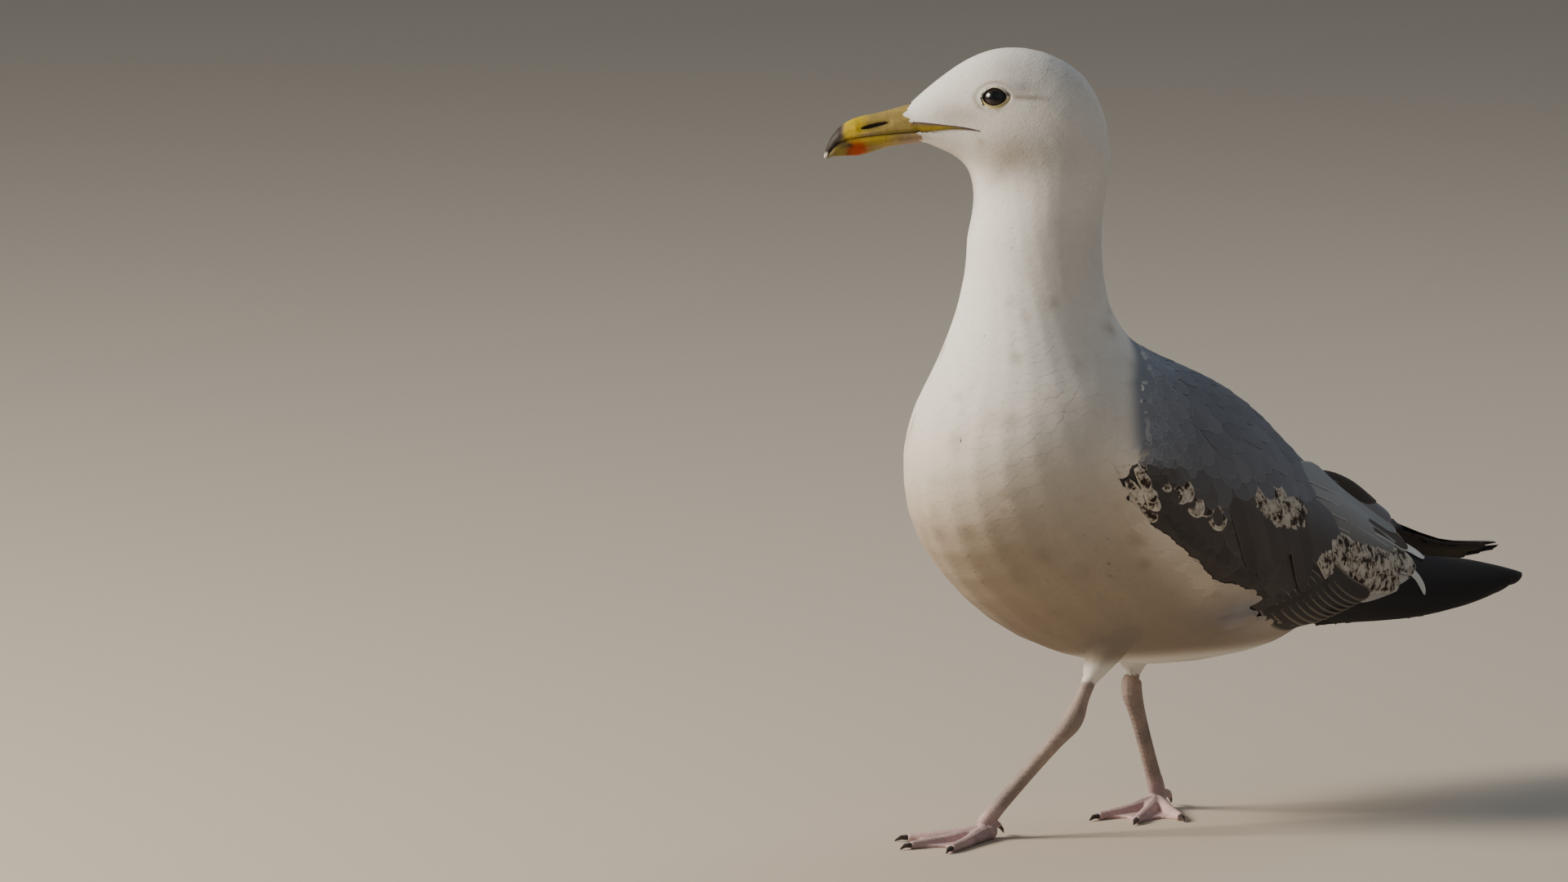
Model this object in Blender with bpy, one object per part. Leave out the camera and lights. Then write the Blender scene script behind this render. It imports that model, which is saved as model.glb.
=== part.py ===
"""A large white-headed gull caught in a slow walk, at life size.

The bird faces -Y with its left side to +X and +Z up.  Its head is turned to its
right, its left foot is the leading one and its right foot is set down behind and
toes inward.  All sizes below are millimetres; meshes are made in metres.
"""
import math

import bmesh
import bpy
import numpy as np
from mathutils import Vector
from mathutils.bvhtree import BVHTree

MM = 0.001
THINNEST = 0.9             # least thickness of a feather edge
GAP = 0.3                  # clear space left between neighbouring pieces
BODY_SIDES = 28            # facets round the head, neck and trunk
TRUNK_RINGS = 23
PARTING = 0.006            # share of a section spacing that leaves the gap
HEAD_YAW = math.radians(-34.0)   # the head looks to the bird's right
NECK_AXIS_Y = -48.0        # upright axis the head turns about

# ---- cross-sections of the plumage, each from its back line to its breast line
# (back y, back z), (front y, front z), half width, height of the widest line,
# fullness of the upper and of the lower half
SECTION = {
    "bill_root":    ((-112.3, 375.7), (-104.4, 355.6), 9.3, 0.0, 2.0, 2.2),
    "forehead":     ((-102.5, 384.2), (-93.0, 350.6), 13.8, 0.0, 2.0, 2.2),
    "brow":         ((-88.0, 394.8), (-86.0, 346.0), 18.2, -0.05, 2.1, 2.2),
    "eye_line":     ((-75.0, 401.2), (-82.0, 340.5), 21.3, -0.05, 2.2, 2.2),
    "crown":        ((-61.0, 403.8), (-80.5, 336.0), 23.8, -0.05, 2.2, 2.1),
    "hind_crown":   ((-42.0, 400.8), (-79.5, 330.5), 26.3, -0.05, 2.2, 2.1),
    "ear":          ((-23.0, 389.0), (-79.5, 325.6), 28.0, 0.0, 2.1, 2.0),
    "nape":         ((-12.5, 369.0), (-80.0, 320.6), 29.0, 0.0, 2.0, 2.0),
    "throat":       ((-9.6, 345.4), (-81.0, 314.5), 30.0, 0.0, 2.0, 2.0),
    "neck_top":     ((-13.0, 318.5), (-83.0, 305.6), 31.0, 0.0, 2.0, 2.0),
    "neck_mid":     ((-13.0, 295.7), (-84.5, 288.6), 32.5, 0.0, 2.0, 2.0),
    "neck_low":     ((-9.0, 273.0), (-90.5, 266.7), 36.5, 0.0, 2.0, 2.0),
    "collar":       ((3.0, 254.5), (-101.5, 241.7), 45.0, 0.0, 2.0, 2.0),
    "shoulder":     ((18.0, 246.5), (-115.5, 215.0), 55.5, 0.05, 2.0, 2.0),
    "breast":       ((35.0, 239.0), (-121.5, 187.0), 62.5, 0.08, 2.0, 2.0),
    "fore_back":    ((55.0, 230.5), (-114.0, 155.0), 67.0, 0.10, 2.0, 2.0),
    "mid_back":     ((80.0, 217.0), (-89.0, 124.5), 68.5, 0.10, 2.0, 2.0),
    "belly":        ((105.0, 194.0), (-49.0, 98.5), 68.5, 0.08, 2.0, 2.0),
    "flank":        ((130.0, 172.0), (0.0, 83.0), 65.0, 0.05, 2.0, 2.0),
    "loin":         ((150.0, 156.0), (60.0, 79.5), 57.0, 0.05, 2.0, 2.0),
    "vent":         ((170.0, 142.2), (110.0, 87.5), 46.0, 0.05, 2.0, 2.0),
    "rump":         ((190.0, 131.5), (152.0, 99.0), 33.0, 0.05, 2.1, 2.0),
    "tail_root":    ((209.0, 120.0), (196.0, 109.5), 22.0, 0.0, 2.4, 2.4),
}
NAMES = list(SECTION)
HEAD_END = NAMES.index("throat")
NECK_JOIN = NAMES.index("neck_mid")
NECK_END = NAMES.index("collar")

# ---- the eye
EYE_CENTRE = (15.0, -71.6, 380.4)
EYE_RADIUS = 7.5

# ---- the bill, in distance ahead of the neck axis and height
BILL_RIDGE = ((64.6, 375.4), (73.0, 373.2), (81.0, 371.2), (89.5, 369.6),
              (96.5, 367.0), (102.0, 362.6), (106.3, 356.2), (108.6, 348.6))
BILL_CUT = ((59.6, 361.6), (68.5, 360.9), (78.0, 360.1), (88.0, 359.1),
            (96.0, 357.9), (101.5, 355.8), (105.0, 352.2), (106.9, 348.0))
BILL_KEEL = ((57.2, 355.8), (65.5, 354.9), (75.0, 353.7), (83.0, 351.3),
             (90.0, 349.4), (96.5, 349.2), (101.5, 349.1), (104.4, 349.0))
BILL_HALF = (9.0, 8.0, 6.9, 6.0, 5.0, 3.8, 2.4, 0.9)
BILL_RINGS = 11
BILL_SIDES = 12
# level of the widest line, fullness above and below it, share of the full width
UPPER_MANDIBLE = (-0.7, 1.75, 3.6, 1.0)
LOWER_MANDIBLE = (0.55, 3.6, 1.8, 0.93)

# ---- the folded wing: upper edge, middle and lower edge of each rib, left side
WING_RIB = {
    "wrist":     ((38.0, -18.0, 238.0), (66.0, -46.0, 214.0), (70.0, -54.0, 190.0)),
    "shoulder":  ((30.0, 20.0, 242.0), (72.0, -2.0, 205.0), (77.0, -30.0, 158.0)),
    "elbow":     ((26.0, 60.0, 228.0), (76.0, 40.0, 180.0), (75.0, 8.0, 130.0)),
    "coverts":   ((24.0, 98.0, 200.0), (70.0, 80.0, 150.0), (66.0, 50.0, 108.0)),
    "hind":      ((22.0, 135.0, 167.0), (58.0, 115.0, 130.0), (48.0, 97.0, 97.0)),
    "tertials":  ((21.5, 171.0, 144.0), (45.0, 155.0, 118.0), (41.0, 140.0, 94.5)),
    "step":      ((18.0, 205.0, 124.0), (34.0, 200.0, 110.0), (34.0, 190.0, 92.0)),
    "primaries": ((16.0, 240.0, 117.0), (26.5, 241.0, 107.0), (27.0, 238.0, 96.0)),
    "tip":       ((18.0, 275.0, 107.0), (19.5, 278.0, 104.5), (18.0, 275.0, 102.0)),
}
# the right wing is carried higher behind, its tertials humped above the back
FAR_RIB = {
    "hind":      ((23.0, 138.0, 171.0), (58.0, 120.0, 136.0), (48.0, 102.0, 103.0)),
    "tertials":  ((25.0, 185.0, 163.0), (46.0, 166.0, 130.0), (40.0, 152.0, 104.0)),
    "step":      ((24.0, 220.0, 140.0), (35.0, 208.0, 122.0), (34.0, 200.0, 105.0)),
    "primaries": ((16.0, 246.0, 122.5), (25.0, 247.0, 115.5), (26.0, 245.0, 107.0)),
    "tip":       ((18.0, 294.0, 117.5), (19.0, 297.0, 115.5), (18.0, 292.0, 113.0)),
}
WING_ROWS = 23
WING_COLUMNS = 12
WING_CLEARANCE = 1.2       # room for the facets between the wing and the trunk
WING_CUTS = (0.52, 0.76)   # where coverts end and tertials end, along the wing
WING_PARTING = 0.0007      # share of the wing's length that leaves the gap
WING_EDGE = 1.6            # thickness at the upper and lower edges
WING_SWELL = 4.2           # added thickness along the middle
WING_TAPER = 0.55          # share of the thickness lost towards the tip

# ---- legs: where each joint sits
LEG = {
    "l": {"hip": (35.0, -8.0, 126.0), "cuff": (27.0, -33.0, 82.0),
          "ankle": (25.0, -43.5, 59.5), "foot": (4.0, -84.0, 9.5), "yaw": 0.0},
    "r": {"hip": (-20.0, 38.0, 112.0), "cuff": (-9.0, 28.5, 75.0),
          "ankle": (-6.0, 24.0, 67.0), "foot": (-14.0, 50.0, 9.5),
          "yaw": math.radians(36.0)},
}
LEG_JOINTS = ("hip", "cuff", "ankle", "foot")
THIGH_RADII = (17.0, 12.0, 5.2)
SHANK_RADII = (4.1, 4.2, 5.6, 6.0, 4.8, 4.3, 4.4, 4.9, 4.2)
SHANK_RINGS = 25
SHANK_FLATNESS = 0.8       # the bare leg is narrower than it is deep
ANKLE_RING = 8
FOOT_RING = 20
TOES = (("inner", -29.0, 41.0), ("middle", 0.0, 51.5), ("outer", 27.0, 48.5))
TOE_SHARES = (0.0, 0.22, 0.45, 0.72, 1.0)
TOE_HEIGHTS = (3.6, 3.4, 2.6, 2.1, 1.9)
TOE_RADII = (4.6, 4.0, 3.2, 2.9, 2.3)
CLAW_LENGTH = 6.5
CLAW_DROP = 1.5
CLAW_RADII = (1.5, 1.2, 0.35)
WEB_THICKNESS = 1.6
WEB_HOLLOW = 0.22
WEB_STEPS = 7
HEEL_PAD = (0.2, 0.7, 4.3)
HEEL_PAD_RADIUS = 5.3
HIND_TOE = ((-2.0, 2.0, 8.0), (-3.5, 7.5, 8.0), (-4.0, 12.5, 5.2))
HIND_TOE_RADII = (2.4, 2.1, 1.6)
HIND_CLAW = ((-4.06, 12.8, 4.9), (-4.2, 14.6, 3.2), (-4.2, 15.6, 1.4))
HIND_CLAW_RADII = (1.2, 0.9, 0.3)

# ---- tail
TAIL_TIP = (262.0, 103.0)
TAIL_TIP_HALF_THICK = 1.6
TAIL_HALF = (19.0, 15.0)   # half width at the root and at the tip
TAIL_RINGS = 7



def material(name, colour, roughness):
    mat = bpy.data.materials.new(name)
    mat.use_nodes = True
    shader = mat.node_tree.nodes["Principled BSDF"]
    shader.inputs["Base Color"].default_value = (*colour, 1.0)
    shader.inputs["Roughness"].default_value = roughness
    shader.inputs["Metallic"].default_value = 0.0
    mat.diffuse_color = (*colour, 1.0)
    return mat


def spline(values, at):
    """Smooth curve through evenly numbered values, read at places `at`."""
    values = np.asarray(values, float)
    at = np.clip(np.asarray(at, float), 0.0, len(values) - 1.0)
    left = np.minimum(at.astype(int), len(values) - 2)
    part = (at - left).reshape(at.shape + (1,) * (values.ndim - 1))
    before = values[np.maximum(left - 1, 0)]
    first = values[left]
    second = values[left + 1]
    after = values[np.minimum(left + 2, len(values) - 1)]
    slope_a = (second - before) * np.where(left == 0, 1.0, 0.5).reshape(part.shape)
    last = len(values) - 2
    slope_b = (after - first) * np.where(left == last, 1.0, 0.5).reshape(part.shape)
    p2 = part * part
    p3 = p2 * part
    return (first * (2 * p3 - 3 * p2 + 1) + slope_a * (p3 - 2 * p2 + part)
            + second * (3 * p2 - 2 * p3) + slope_b * (p3 - p2))


def smooth(value):
    value = np.clip(value, 0.0, 1.0)
    return value * value * (3.0 - 2.0 * value)


def oval(back, front, half, widest, upper, lower, sides, grow=0.0):
    """Closed oval rings between back and front points, one ring per row."""
    back = np.asarray(back, float)
    front = np.asarray(front, float)
    axis = back - front
    height = np.linalg.norm(axis, axis=1)
    axis = axis / height[:, None]
    middle = (back + front) / 2
    tall = height / 2 + grow
    turn = np.arange(sides) * 2 * math.pi / sides
    cos = np.cos(turn)
    sin = np.sin(turn)
    power = np.where(sin[None, :] >= 0, 2 / upper[:, None], 2 / lower[:, None])
    side = np.sign(cos) * np.abs(cos) ** power * (half[:, None] + grow)
    lift = np.abs(sin)[None, :] ** power
    top = widest[:, None] + (1 - widest[:, None]) * lift
    low = widest[:, None] - (1 + widest[:, None]) * lift
    lift = np.where(sin[None, :] >= 0, top, low) * tall[:, None]
    rings = np.zeros((len(back), sides, 3))
    rings[:, :, 0] = side
    rings[:, :, 1] = middle[:, None, 0] + axis[:, None, 0] * lift
    rings[:, :, 2] = middle[:, None, 1] + axis[:, None, 1] * lift
    return rings


def turn_head(points, share):
    """Turn points about the neck's upright axis by a share of the head's turn."""
    angle = HEAD_YAW * share
    cos = np.cos(angle)
    sin = np.sin(angle)
    out = np.array(points, float)
    ahead = points[..., 1] - NECK_AXIS_Y
    out[..., 0] = points[..., 0] * cos - ahead * sin
    out[..., 1] = NECK_AXIS_Y + points[..., 0] * sin + ahead * cos
    return out


def body_rings(start, stop, steps, grow=0.0):
    """Rings of head, neck or trunk between two numbered sections."""
    place = np.linspace(start, stop, steps)
    rows = list(SECTION.values())
    back = spline([row[0] for row in rows], place)
    front = spline([row[1] for row in rows], place)
    half = spline([row[2] for row in rows], place)
    widest = spline([row[3] for row in rows], place)
    upper = spline([row[4] for row in rows], place)
    lower = spline([row[5] for row in rows], place)
    rings = oval(back, front, half, widest, upper, lower, BODY_SIDES, grow)
    fade = NAMES.index("shoulder") - HEAD_END
    share = 1.0 - smooth((place - HEAD_END + 0.5) / fade)
    return turn_head(rings, share[:, None])


def solid(name, verts, faces, mat):
    """Closed mesh from rings of points, smooth but for its end lids."""
    mesh = bpy.data.meshes.new(name)
    mesh.from_pydata([tuple(v) for v in np.asarray(verts) * MM], [], faces)
    work = bmesh.new()
    work.from_mesh(mesh)
    bmesh.ops.recalc_face_normals(work, faces=work.faces)
    work.to_mesh(mesh)
    work.free()
    mesh.materials.append(mat)
    for face in mesh.polygons:
        face.use_smooth = len(face.vertices) < 8
    item = bpy.data.objects.new(name, mesh)
    parts.objects.link(item)
    return item


def skin_faces(rows, sides):
    """Quads between closed rings, and a lid on each end."""
    faces = []
    for row in range(rows - 1):
        for side in range(sides):
            nxt = (side + 1) % sides
            faces.append((row * sides + side, row * sides + nxt,
                          (row + 1) * sides + nxt, (row + 1) * sides + side))
    faces.append(tuple(range(sides)))
    faces.append(tuple((rows - 1) * sides + side for side in range(sides)))
    return faces


def loft(name, rings, mat):
    rows, sides = rings.shape[:2]
    return solid(name, rings.reshape(-1, 3), skin_faces(rows, sides), mat)


def as_cutter(item):
    parts.objects.unlink(item)
    cutters.objects.link(item)
    item.hide_render = True
    item.display_type = 'WIRE'
    return item


def combine(item, other, operation):
    """Boolean of one solid with another, applied at once."""
    bpy.context.view_layer.update()
    mod = item.modifiers.new(operation.lower(), 'BOOLEAN')
    mod.operation = operation
    mod.solver = 'EXACT'
    mod.object = other
    graph = bpy.context.evaluated_depsgraph_get()
    made = bpy.data.meshes.new_from_object(item.evaluated_get(graph))
    item.modifiers.remove(mod)
    made.name = item.name
    item.data = made
    bpy.data.objects.remove(other)
    return item


def ball(name, centre, radius, mat, around=14, down=8):
    mesh = bpy.data.meshes.new(name)
    work = bmesh.new()
    bmesh.ops.create_uvsphere(work, u_segments=around, v_segments=down, radius=radius * MM)
    work.to_mesh(mesh)
    work.free()
    mesh.materials.append(mat)
    mesh.shade_smooth()
    item = bpy.data.objects.new(name, mesh)
    item.location = Vector(centre) * MM
    parts.objects.link(item)
    return item


def curve_solid(name, points, radii, mat, thickness=None):
    """A bevelled curve as a tapering rod, or a flat outline given a thickness."""
    curve = bpy.data.curves.new(name, 'CURVE')
    line = curve.splines.new('POLY')
    line.points.add(len(points) - 1)
    for spot, where, radius in zip(line.points, points, radii):
        spot.co = (*(Vector(where) * MM), 1.0)
        spot.radius = radius
    if thickness is None:
        curve.dimensions = '3D'
        curve.bevel_depth = MM
        curve.bevel_resolution = 2
        curve.use_fill_caps = True
    else:
        curve.dimensions = '2D'
        curve.fill_mode = 'BOTH'
        curve.extrude = thickness * MM / 2
        line.use_cyclic_u = True
    shape = bpy.data.objects.new(name + "_curve", curve)
    cutters.objects.link(shape)
    graph = bpy.context.evaluated_depsgraph_get()
    mesh = bpy.data.meshes.new_from_object(shape.evaluated_get(graph))
    bpy.data.objects.remove(shape)
    work = bmesh.new()
    work.from_mesh(mesh)
    bmesh.ops.remove_doubles(work, verts=work.verts, dist=1e-7)
    bmesh.ops.recalc_face_normals(work, faces=work.faces)
    work.to_mesh(mesh)
    work.free()
    mesh.materials.clear()
    mesh.materials.append(mat)
    mesh.shade_smooth()
    mesh.set_sharp_from_angle(angle=math.radians(50.0))
    item = bpy.data.objects.new(name, mesh)
    parts.objects.link(item)
    return item


def rod(name, path, radii, steps, mat, place):
    """Round tapering rod along a smooth path in a foot's own frame."""
    at = np.linspace(0.0, len(path) - 1.0, steps)
    return curve_solid(name, place(spline(path, at)), spline(radii, at), mat)


def tube(path, radii, steps, sides, flatten=1.0):
    """Round rings along a falling path; `flatten` narrows them sideways."""
    place = np.linspace(0.0, len(path) - 1.0, steps)
    centre = spline(path, place)
    radius = spline(radii, place)
    along = np.gradient(centre, axis=0)
    along /= np.linalg.norm(along, axis=1)[:, None]
    side_axis = np.cross(along, np.array([0.0, -1.0, 0.0]))
    side_axis /= np.linalg.norm(side_axis, axis=1)[:, None]
    third = np.cross(along, side_axis)
    turn = np.arange(sides) * 2 * math.pi / sides
    ring = (side_axis[:, None, :] * (np.cos(turn)[None, :, None] * flatten)
            + third[:, None, :] * np.sin(turn)[None, :, None])
    return centre[:, None, :] + ring * radius[:, None, None]


def head_neck_trunk(white):
    head = loft("head", body_rings(0.0, HEAD_END - PARTING, 17), white)
    loft("neck_upper", body_rings(HEAD_END + PARTING, NECK_JOIN - PARTING, 5), white)
    loft("neck_lower", body_rings(NECK_JOIN + PARTING, NECK_END - PARTING, 5), white)
    last = len(NAMES) - 1.0
    trunk = loft("trunk", body_rings(NECK_END + PARTING, last, TRUNK_RINGS), white)
    return head, trunk


def eyes(head, mat):
    for side, sign in (("l", 1.0), ("r", -1.0)):
        point = np.array([sign * EYE_CENTRE[0], EYE_CENTRE[1], EYE_CENTRE[2]])
        centre = turn_head(point, 1.0)
        socket = as_cutter(ball("socket_" + side, centre, EYE_RADIUS + GAP, mat))
        combine(head, socket, 'DIFFERENCE')
        ball("eye_" + side, centre, EYE_RADIUS, mat)


def mandible(name, high, low, shape, mat):
    """One half of the bill between an upper and a lower profile."""
    widest, upper, lower, width = shape
    place = np.linspace(0.0, len(BILL_HALF) - 1.0, BILL_RINGS)
    high = spline(high, place)
    low = spline(low, place)
    back = np.stack([NECK_AXIS_Y - high[:, 0], high[:, 1]], 1)
    front = np.stack([NECK_AXIS_Y - low[:, 0], low[:, 1]], 1)
    ones = np.ones(BILL_RINGS)
    rings = oval(back, front, spline(BILL_HALF, place) * width, widest * ones,
                 upper * ones, lower * ones, BILL_SIDES)
    loft(name, turn_head(rings, 1.0), mat)


def bill(mat):
    """Two mandibles that meet with a gap along the cutting edge."""
    cut = np.array(BILL_CUT)
    mandible("bill_upper", BILL_RIDGE, cut + (0.0, GAP / 2), UPPER_MANDIBLE, mat)
    mandible("bill_lower", cut - (0.0, GAP / 2), BILL_KEEL, LOWER_MANDIBLE, mat)


def wing_face(ribs):
    """Grid of points over the wing's outer face, one row for each rib position."""
    down = np.linspace(0.0, 1.0, WING_COLUMNS)[None, :, None]
    rib = spline(ribs, np.linspace(0.0, len(ribs) - 1.0, WING_ROWS))
    return (rib[:, 0, None] * (1 - down) * (1 - 2 * down)
            + rib[:, 1, None] * 4 * down * (1 - down)
            + rib[:, 2, None] * down * (2 * down - 1))


def wing_thickness():
    """Thickness over the same grid: thin at the edges, the front and the tip."""
    along = np.linspace(0.0, 1.0, WING_ROWS)[:, None]
    down = np.linspace(0.03, 0.97, WING_COLUMNS)[None, :]
    thick = WING_EDGE + WING_SWELL * np.sin(math.pi * down) ** 0.6 * smooth(along / 0.12)
    return thick * (1.0 - WING_TAPER * smooth((along - 0.6) / 0.4))


def trunk_axis(y):
    """Point inside the trunk, level with y, from which the wing is laid out."""
    return np.array([0.0, y, min(170.0, max(106.0, 195.0 - 0.45 * y))])


def wing(side, sign, trunk_tree, mats):
    """Folded wing: a shell laid over the trunk that runs on behind it."""
    ribs = dict(WING_RIB)
    if sign < 0:
        ribs.update(FAR_RIB)
    outer = wing_face(np.array(list(ribs.values())))
    thickness = wing_thickness()
    inner = np.zeros_like(outer)
    for place in np.ndindex(WING_ROWS, WING_COLUMNS):
        axis = trunk_axis(outer[place][1])
        away = outer[place] - axis
        reach = np.linalg.norm(away)
        away /= reach
        depth = thickness[place]
        under = reach - depth
        hit = trunk_tree.ray_cast(Vector(axis), Vector(away))
        if hit[0] is not None:
            lowest = hit[3] + WING_CLEARANCE
            reach = max(reach, lowest + 0.1 + 0.6 * depth)
            under = min(max(under, lowest, reach - depth), reach - THINNEST)
        outer[place] = axis + away * reach
        inner[place] = axis + away * under
    outer[:, :, 0] *= sign
    inner[:, :, 0] *= sign
    # one ring per rib: out along the outer face, back along the inner face
    rings = np.concatenate([outer, inner[:, ::-1]], axis=1)
    ends = (0.0, *WING_CUTS, 1.0)
    for index, part in enumerate(("coverts", "tertials", "primaries")):
        first = ends[index] + WING_PARTING * (index > 0)
        last = ends[index + 1] - WING_PARTING * (index < 2)
        count = int(round((last - first) * (WING_ROWS - 1))) + 1
        rows = np.linspace(first, last, count) * (WING_ROWS - 1)
        loft("wing_%s_%s" % (side, part), spline(rings, rows), mats[index])


def tail(mat):
    """Closed tail: a flat bundle of feathers between the wing tips."""
    top = np.array(SECTION["tail_root"][0])
    bottom = np.array(SECTION["tail_root"][1])
    across = top - bottom
    clear = np.array([across[1], -across[0]]) / np.linalg.norm(across) * GAP
    place = np.linspace(0.0, 1.0, TAIL_RINGS)[:, None]
    top = top + clear - across * 0.12
    bottom = bottom + clear + across * 0.12
    tip = np.array(TAIL_TIP)
    half_thick = np.array([0.0, TAIL_TIP_HALF_THICK])
    high = top + (tip + half_thick - top) * place
    low = bottom + (tip - half_thick - bottom) * place
    half = TAIL_HALF[0] + (TAIL_HALF[1] - TAIL_HALF[0]) * place[:, 0]
    square = np.full(TAIL_RINGS, 3.0)
    rings = oval(high, low, half, np.zeros(TAIL_RINGS), square, square, BILL_SIDES)
    loft("tail", rings, mat)


def foot_frame(side):
    """Function that sets points of a left foot down where this foot stands."""
    data = LEG[side]
    cos = math.cos(data["yaw"])
    sin = math.sin(data["yaw"])
    mirror = 1.0 if side == "l" else -1.0

    def place(points):
        out = np.array(points, float)
        x = out[..., 0] * mirror
        y = out[..., 1].copy()
        out[..., 0] = data["foot"][0] + x * cos - y * sin
        out[..., 1] = data["foot"][1] + x * sin + y * cos
        return out
    return place


def toe_direction(angle):
    return np.array([math.sin(math.radians(angle)), -math.cos(math.radians(angle)), 0.0])


def flat_sole(item):
    """Slice away all that lies under the floor and close the cut with a flat face."""
    work = bmesh.new()
    work.from_mesh(item.data)
    geometry = work.verts[:] + work.edges[:] + work.faces[:]
    bmesh.ops.bisect_plane(work, geom=geometry, dist=1e-7, plane_co=(0, 0, 0),
                           plane_no=(0, 0, -1), clear_outer=True)
    rim = [edge for edge in work.edges if len(edge.link_faces) == 1]
    bmesh.ops.contextual_create(work, geom=rim)
    bmesh.ops.recalc_face_normals(work, faces=work.faces)
    work.to_mesh(item.data)
    work.free()


def toe(side, name, angle, length, place, skin, horn):
    """One front toe with its claw; the toe is returned to be joined to the foot."""
    way = toe_direction(angle)
    path = [way * share * length + (0.0, 0.0, height)
            for share, height in zip(TOE_SHARES, TOE_HEIGHTS)]
    root = path[-1] + way * GAP + (0.0, 0.0, GAP)
    claw = [root, root + way * CLAW_LENGTH / 2,
            root + way * CLAW_LENGTH - (0.0, 0.0, CLAW_DROP)]
    rod("claw_%s_%s" % (side, name), claw, CLAW_RADII, 3, horn, place)
    return rod("toe", path, TOE_RADII, 7, skin, place)


def web(place, skin):
    """Skin between the front toes, its front edge drawn back in a hollow each side."""
    rim = [np.array([0.0, 1.3, 0.0])]
    for first, second in zip(TOES, TOES[1:]):
        for share in np.linspace(0.0, 1.0, WEB_STEPS):
            way = toe_direction(first[1]) * (1 - share) + toe_direction(second[1]) * share
            reach = first[2] * (1 - share) + second[2] * share - TOE_RADII[-1]
            rim.append(way * reach * (1.0 - WEB_HOLLOW * math.sin(math.pi * share)))
    del rim[WEB_STEPS]
    # half of the plate lies under the floor and is cut away with the soles
    return curve_solid("web", place(rim), np.ones(len(rim)), skin, WEB_THICKNESS * 2)


def foot(side, shank, skin, horn):
    """Webbed foot: three toes and a hind toe with skin between, cut flat below."""
    place = foot_frame(side)
    base = loft("foot_" + side, shank, skin)
    pieces = [ball("heel_pad", place(HEEL_PAD), HEEL_PAD_RADIUS, skin)]
    pieces += [toe(side, *data, place, skin, horn) for data in TOES]
    pieces.append(web(place, skin))
    pieces.append(rod("hind_toe", HIND_TOE, HIND_TOE_RADII, 4, skin, place))
    for piece in pieces:
        combine(base, as_cutter(piece), 'UNION')
    rod("claw_%s_hind" % side, HIND_CLAW, HIND_CLAW_RADII, 3, horn, place)
    flat_sole(base)
    for face in base.data.polygons:
        face.use_smooth = abs(face.normal.z) < 0.999


def thigh(side, hip, cuff, white):
    """Feathered thigh, trimmed where it meets the trunk."""
    path = [hip, hip + (cuff - hip) * 0.55, cuff]
    item = loft("thigh_" + side, tube(path, THIGH_RADII, 7, 14), white)
    grown = body_rings(NECK_END + PARTING, len(NAMES) - 1.0, TRUNK_RINGS, grow=GAP)
    combine(item, as_cutter(loft("trunk_cut", grown, white)), 'DIFFERENCE')


def parted(rings, first, last):
    """Stretch of a run of rings with half a gap taken off each inner end."""
    middle = rings.mean(axis=1)
    part = rings[first:last + 1].copy()
    if first > 0:
        step = middle[first + 1] - middle[first]
        part[0] += step * GAP / 2 / np.linalg.norm(step)
    if last < len(rings) - 1:
        step = middle[last] - middle[last - 1]
        part[-1] -= step * GAP / 2 / np.linalg.norm(step)
    return part


def leg(side, white, skin, horn):
    """Thigh, shin, tarsus and foot of one leg."""
    hip, cuff, ankle, instep = (np.array(LEG[side][k]) for k in LEG_JOINTS)
    thigh(side, hip, cuff, white)
    upper = (ankle - cuff) / np.linalg.norm(ankle - cuff)
    lower = (instep - ankle) / np.linalg.norm(instep - ankle)
    # the bare leg in one run, parted at the ankle and above the foot
    run = [cuff + upper * 4 * GAP, (cuff + ankle) / 2, ankle - upper * 4.0,
           ankle + lower * 3.0, ankle + lower * 14.0, (ankle + instep) / 2,
           instep - lower * 12.0, instep - lower * 3.0, instep + lower * 3.5]
    rings = tube(run, SHANK_RADII, SHANK_RINGS, 12, SHANK_FLATNESS)
    loft("shin_" + side, parted(rings, 0, ANKLE_RING), skin)
    loft("tarsus_" + side, parted(rings, ANKLE_RING, FOOT_RING), skin)
    foot(side, parted(rings, FOOT_RING, SHANK_RINGS - 1), skin, horn)


for item in list(bpy.data.objects):
    bpy.data.objects.remove(item, do_unlink=True)
parts = bpy.data.collections.new("gull")
cutters = bpy.data.collections.new("cutters")
bpy.context.scene.collection.children.link(parts)
bpy.context.scene.collection.children.link(cutters)

white = material("white_plumage", (0.80, 0.78, 0.73), 0.85)
grey = material("grey_plumage", (0.33, 0.34, 0.36), 0.8)
brown = material("mottled_plumage", (0.30, 0.27, 0.24), 0.8)
black = material("flight_plumage", (0.045, 0.04, 0.04), 0.6)
yellow = material("bill_horn", (0.62, 0.50, 0.12), 0.4)
eye_mat = material("eye", (0.03, 0.02, 0.015), 0.08)
flesh = material("leg_skin", (0.62, 0.44, 0.40), 0.55)
horn = material("claw_horn", (0.08, 0.06, 0.05), 0.4)

head, trunk = head_neck_trunk(white)
eyes(head, eye_mat)
bill(yellow)
tree = BVHTree.FromPolygons([v.co / MM for v in trunk.data.vertices],
                            [p.vertices for p in trunk.data.polygons])
wing("l", 1.0, tree, (grey, brown, black))
wing("r", -1.0, tree, (grey, brown, black))
tail(black)
for side in ("l", "r"):
    leg(side, white, flesh, horn)

# one empty carries every part and centres the bird over the origin
placement = bpy.data.objects.new("placement", None)
parts.objects.link(placement)
bpy.context.view_layer.update()
pieces = [item for item in parts.objects if item.type == 'MESH']
cloud = np.array([item.matrix_world @ v.co for item in pieces for v in item.data.vertices])
centre = (cloud.min(axis=0) + cloud.max(axis=0)) / 2
placement.location = (-centre[0], -centre[1], -cloud[:, 2].min())
for item in pieces:
    item.parent = placement
bpy.context.view_layer.update()
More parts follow.
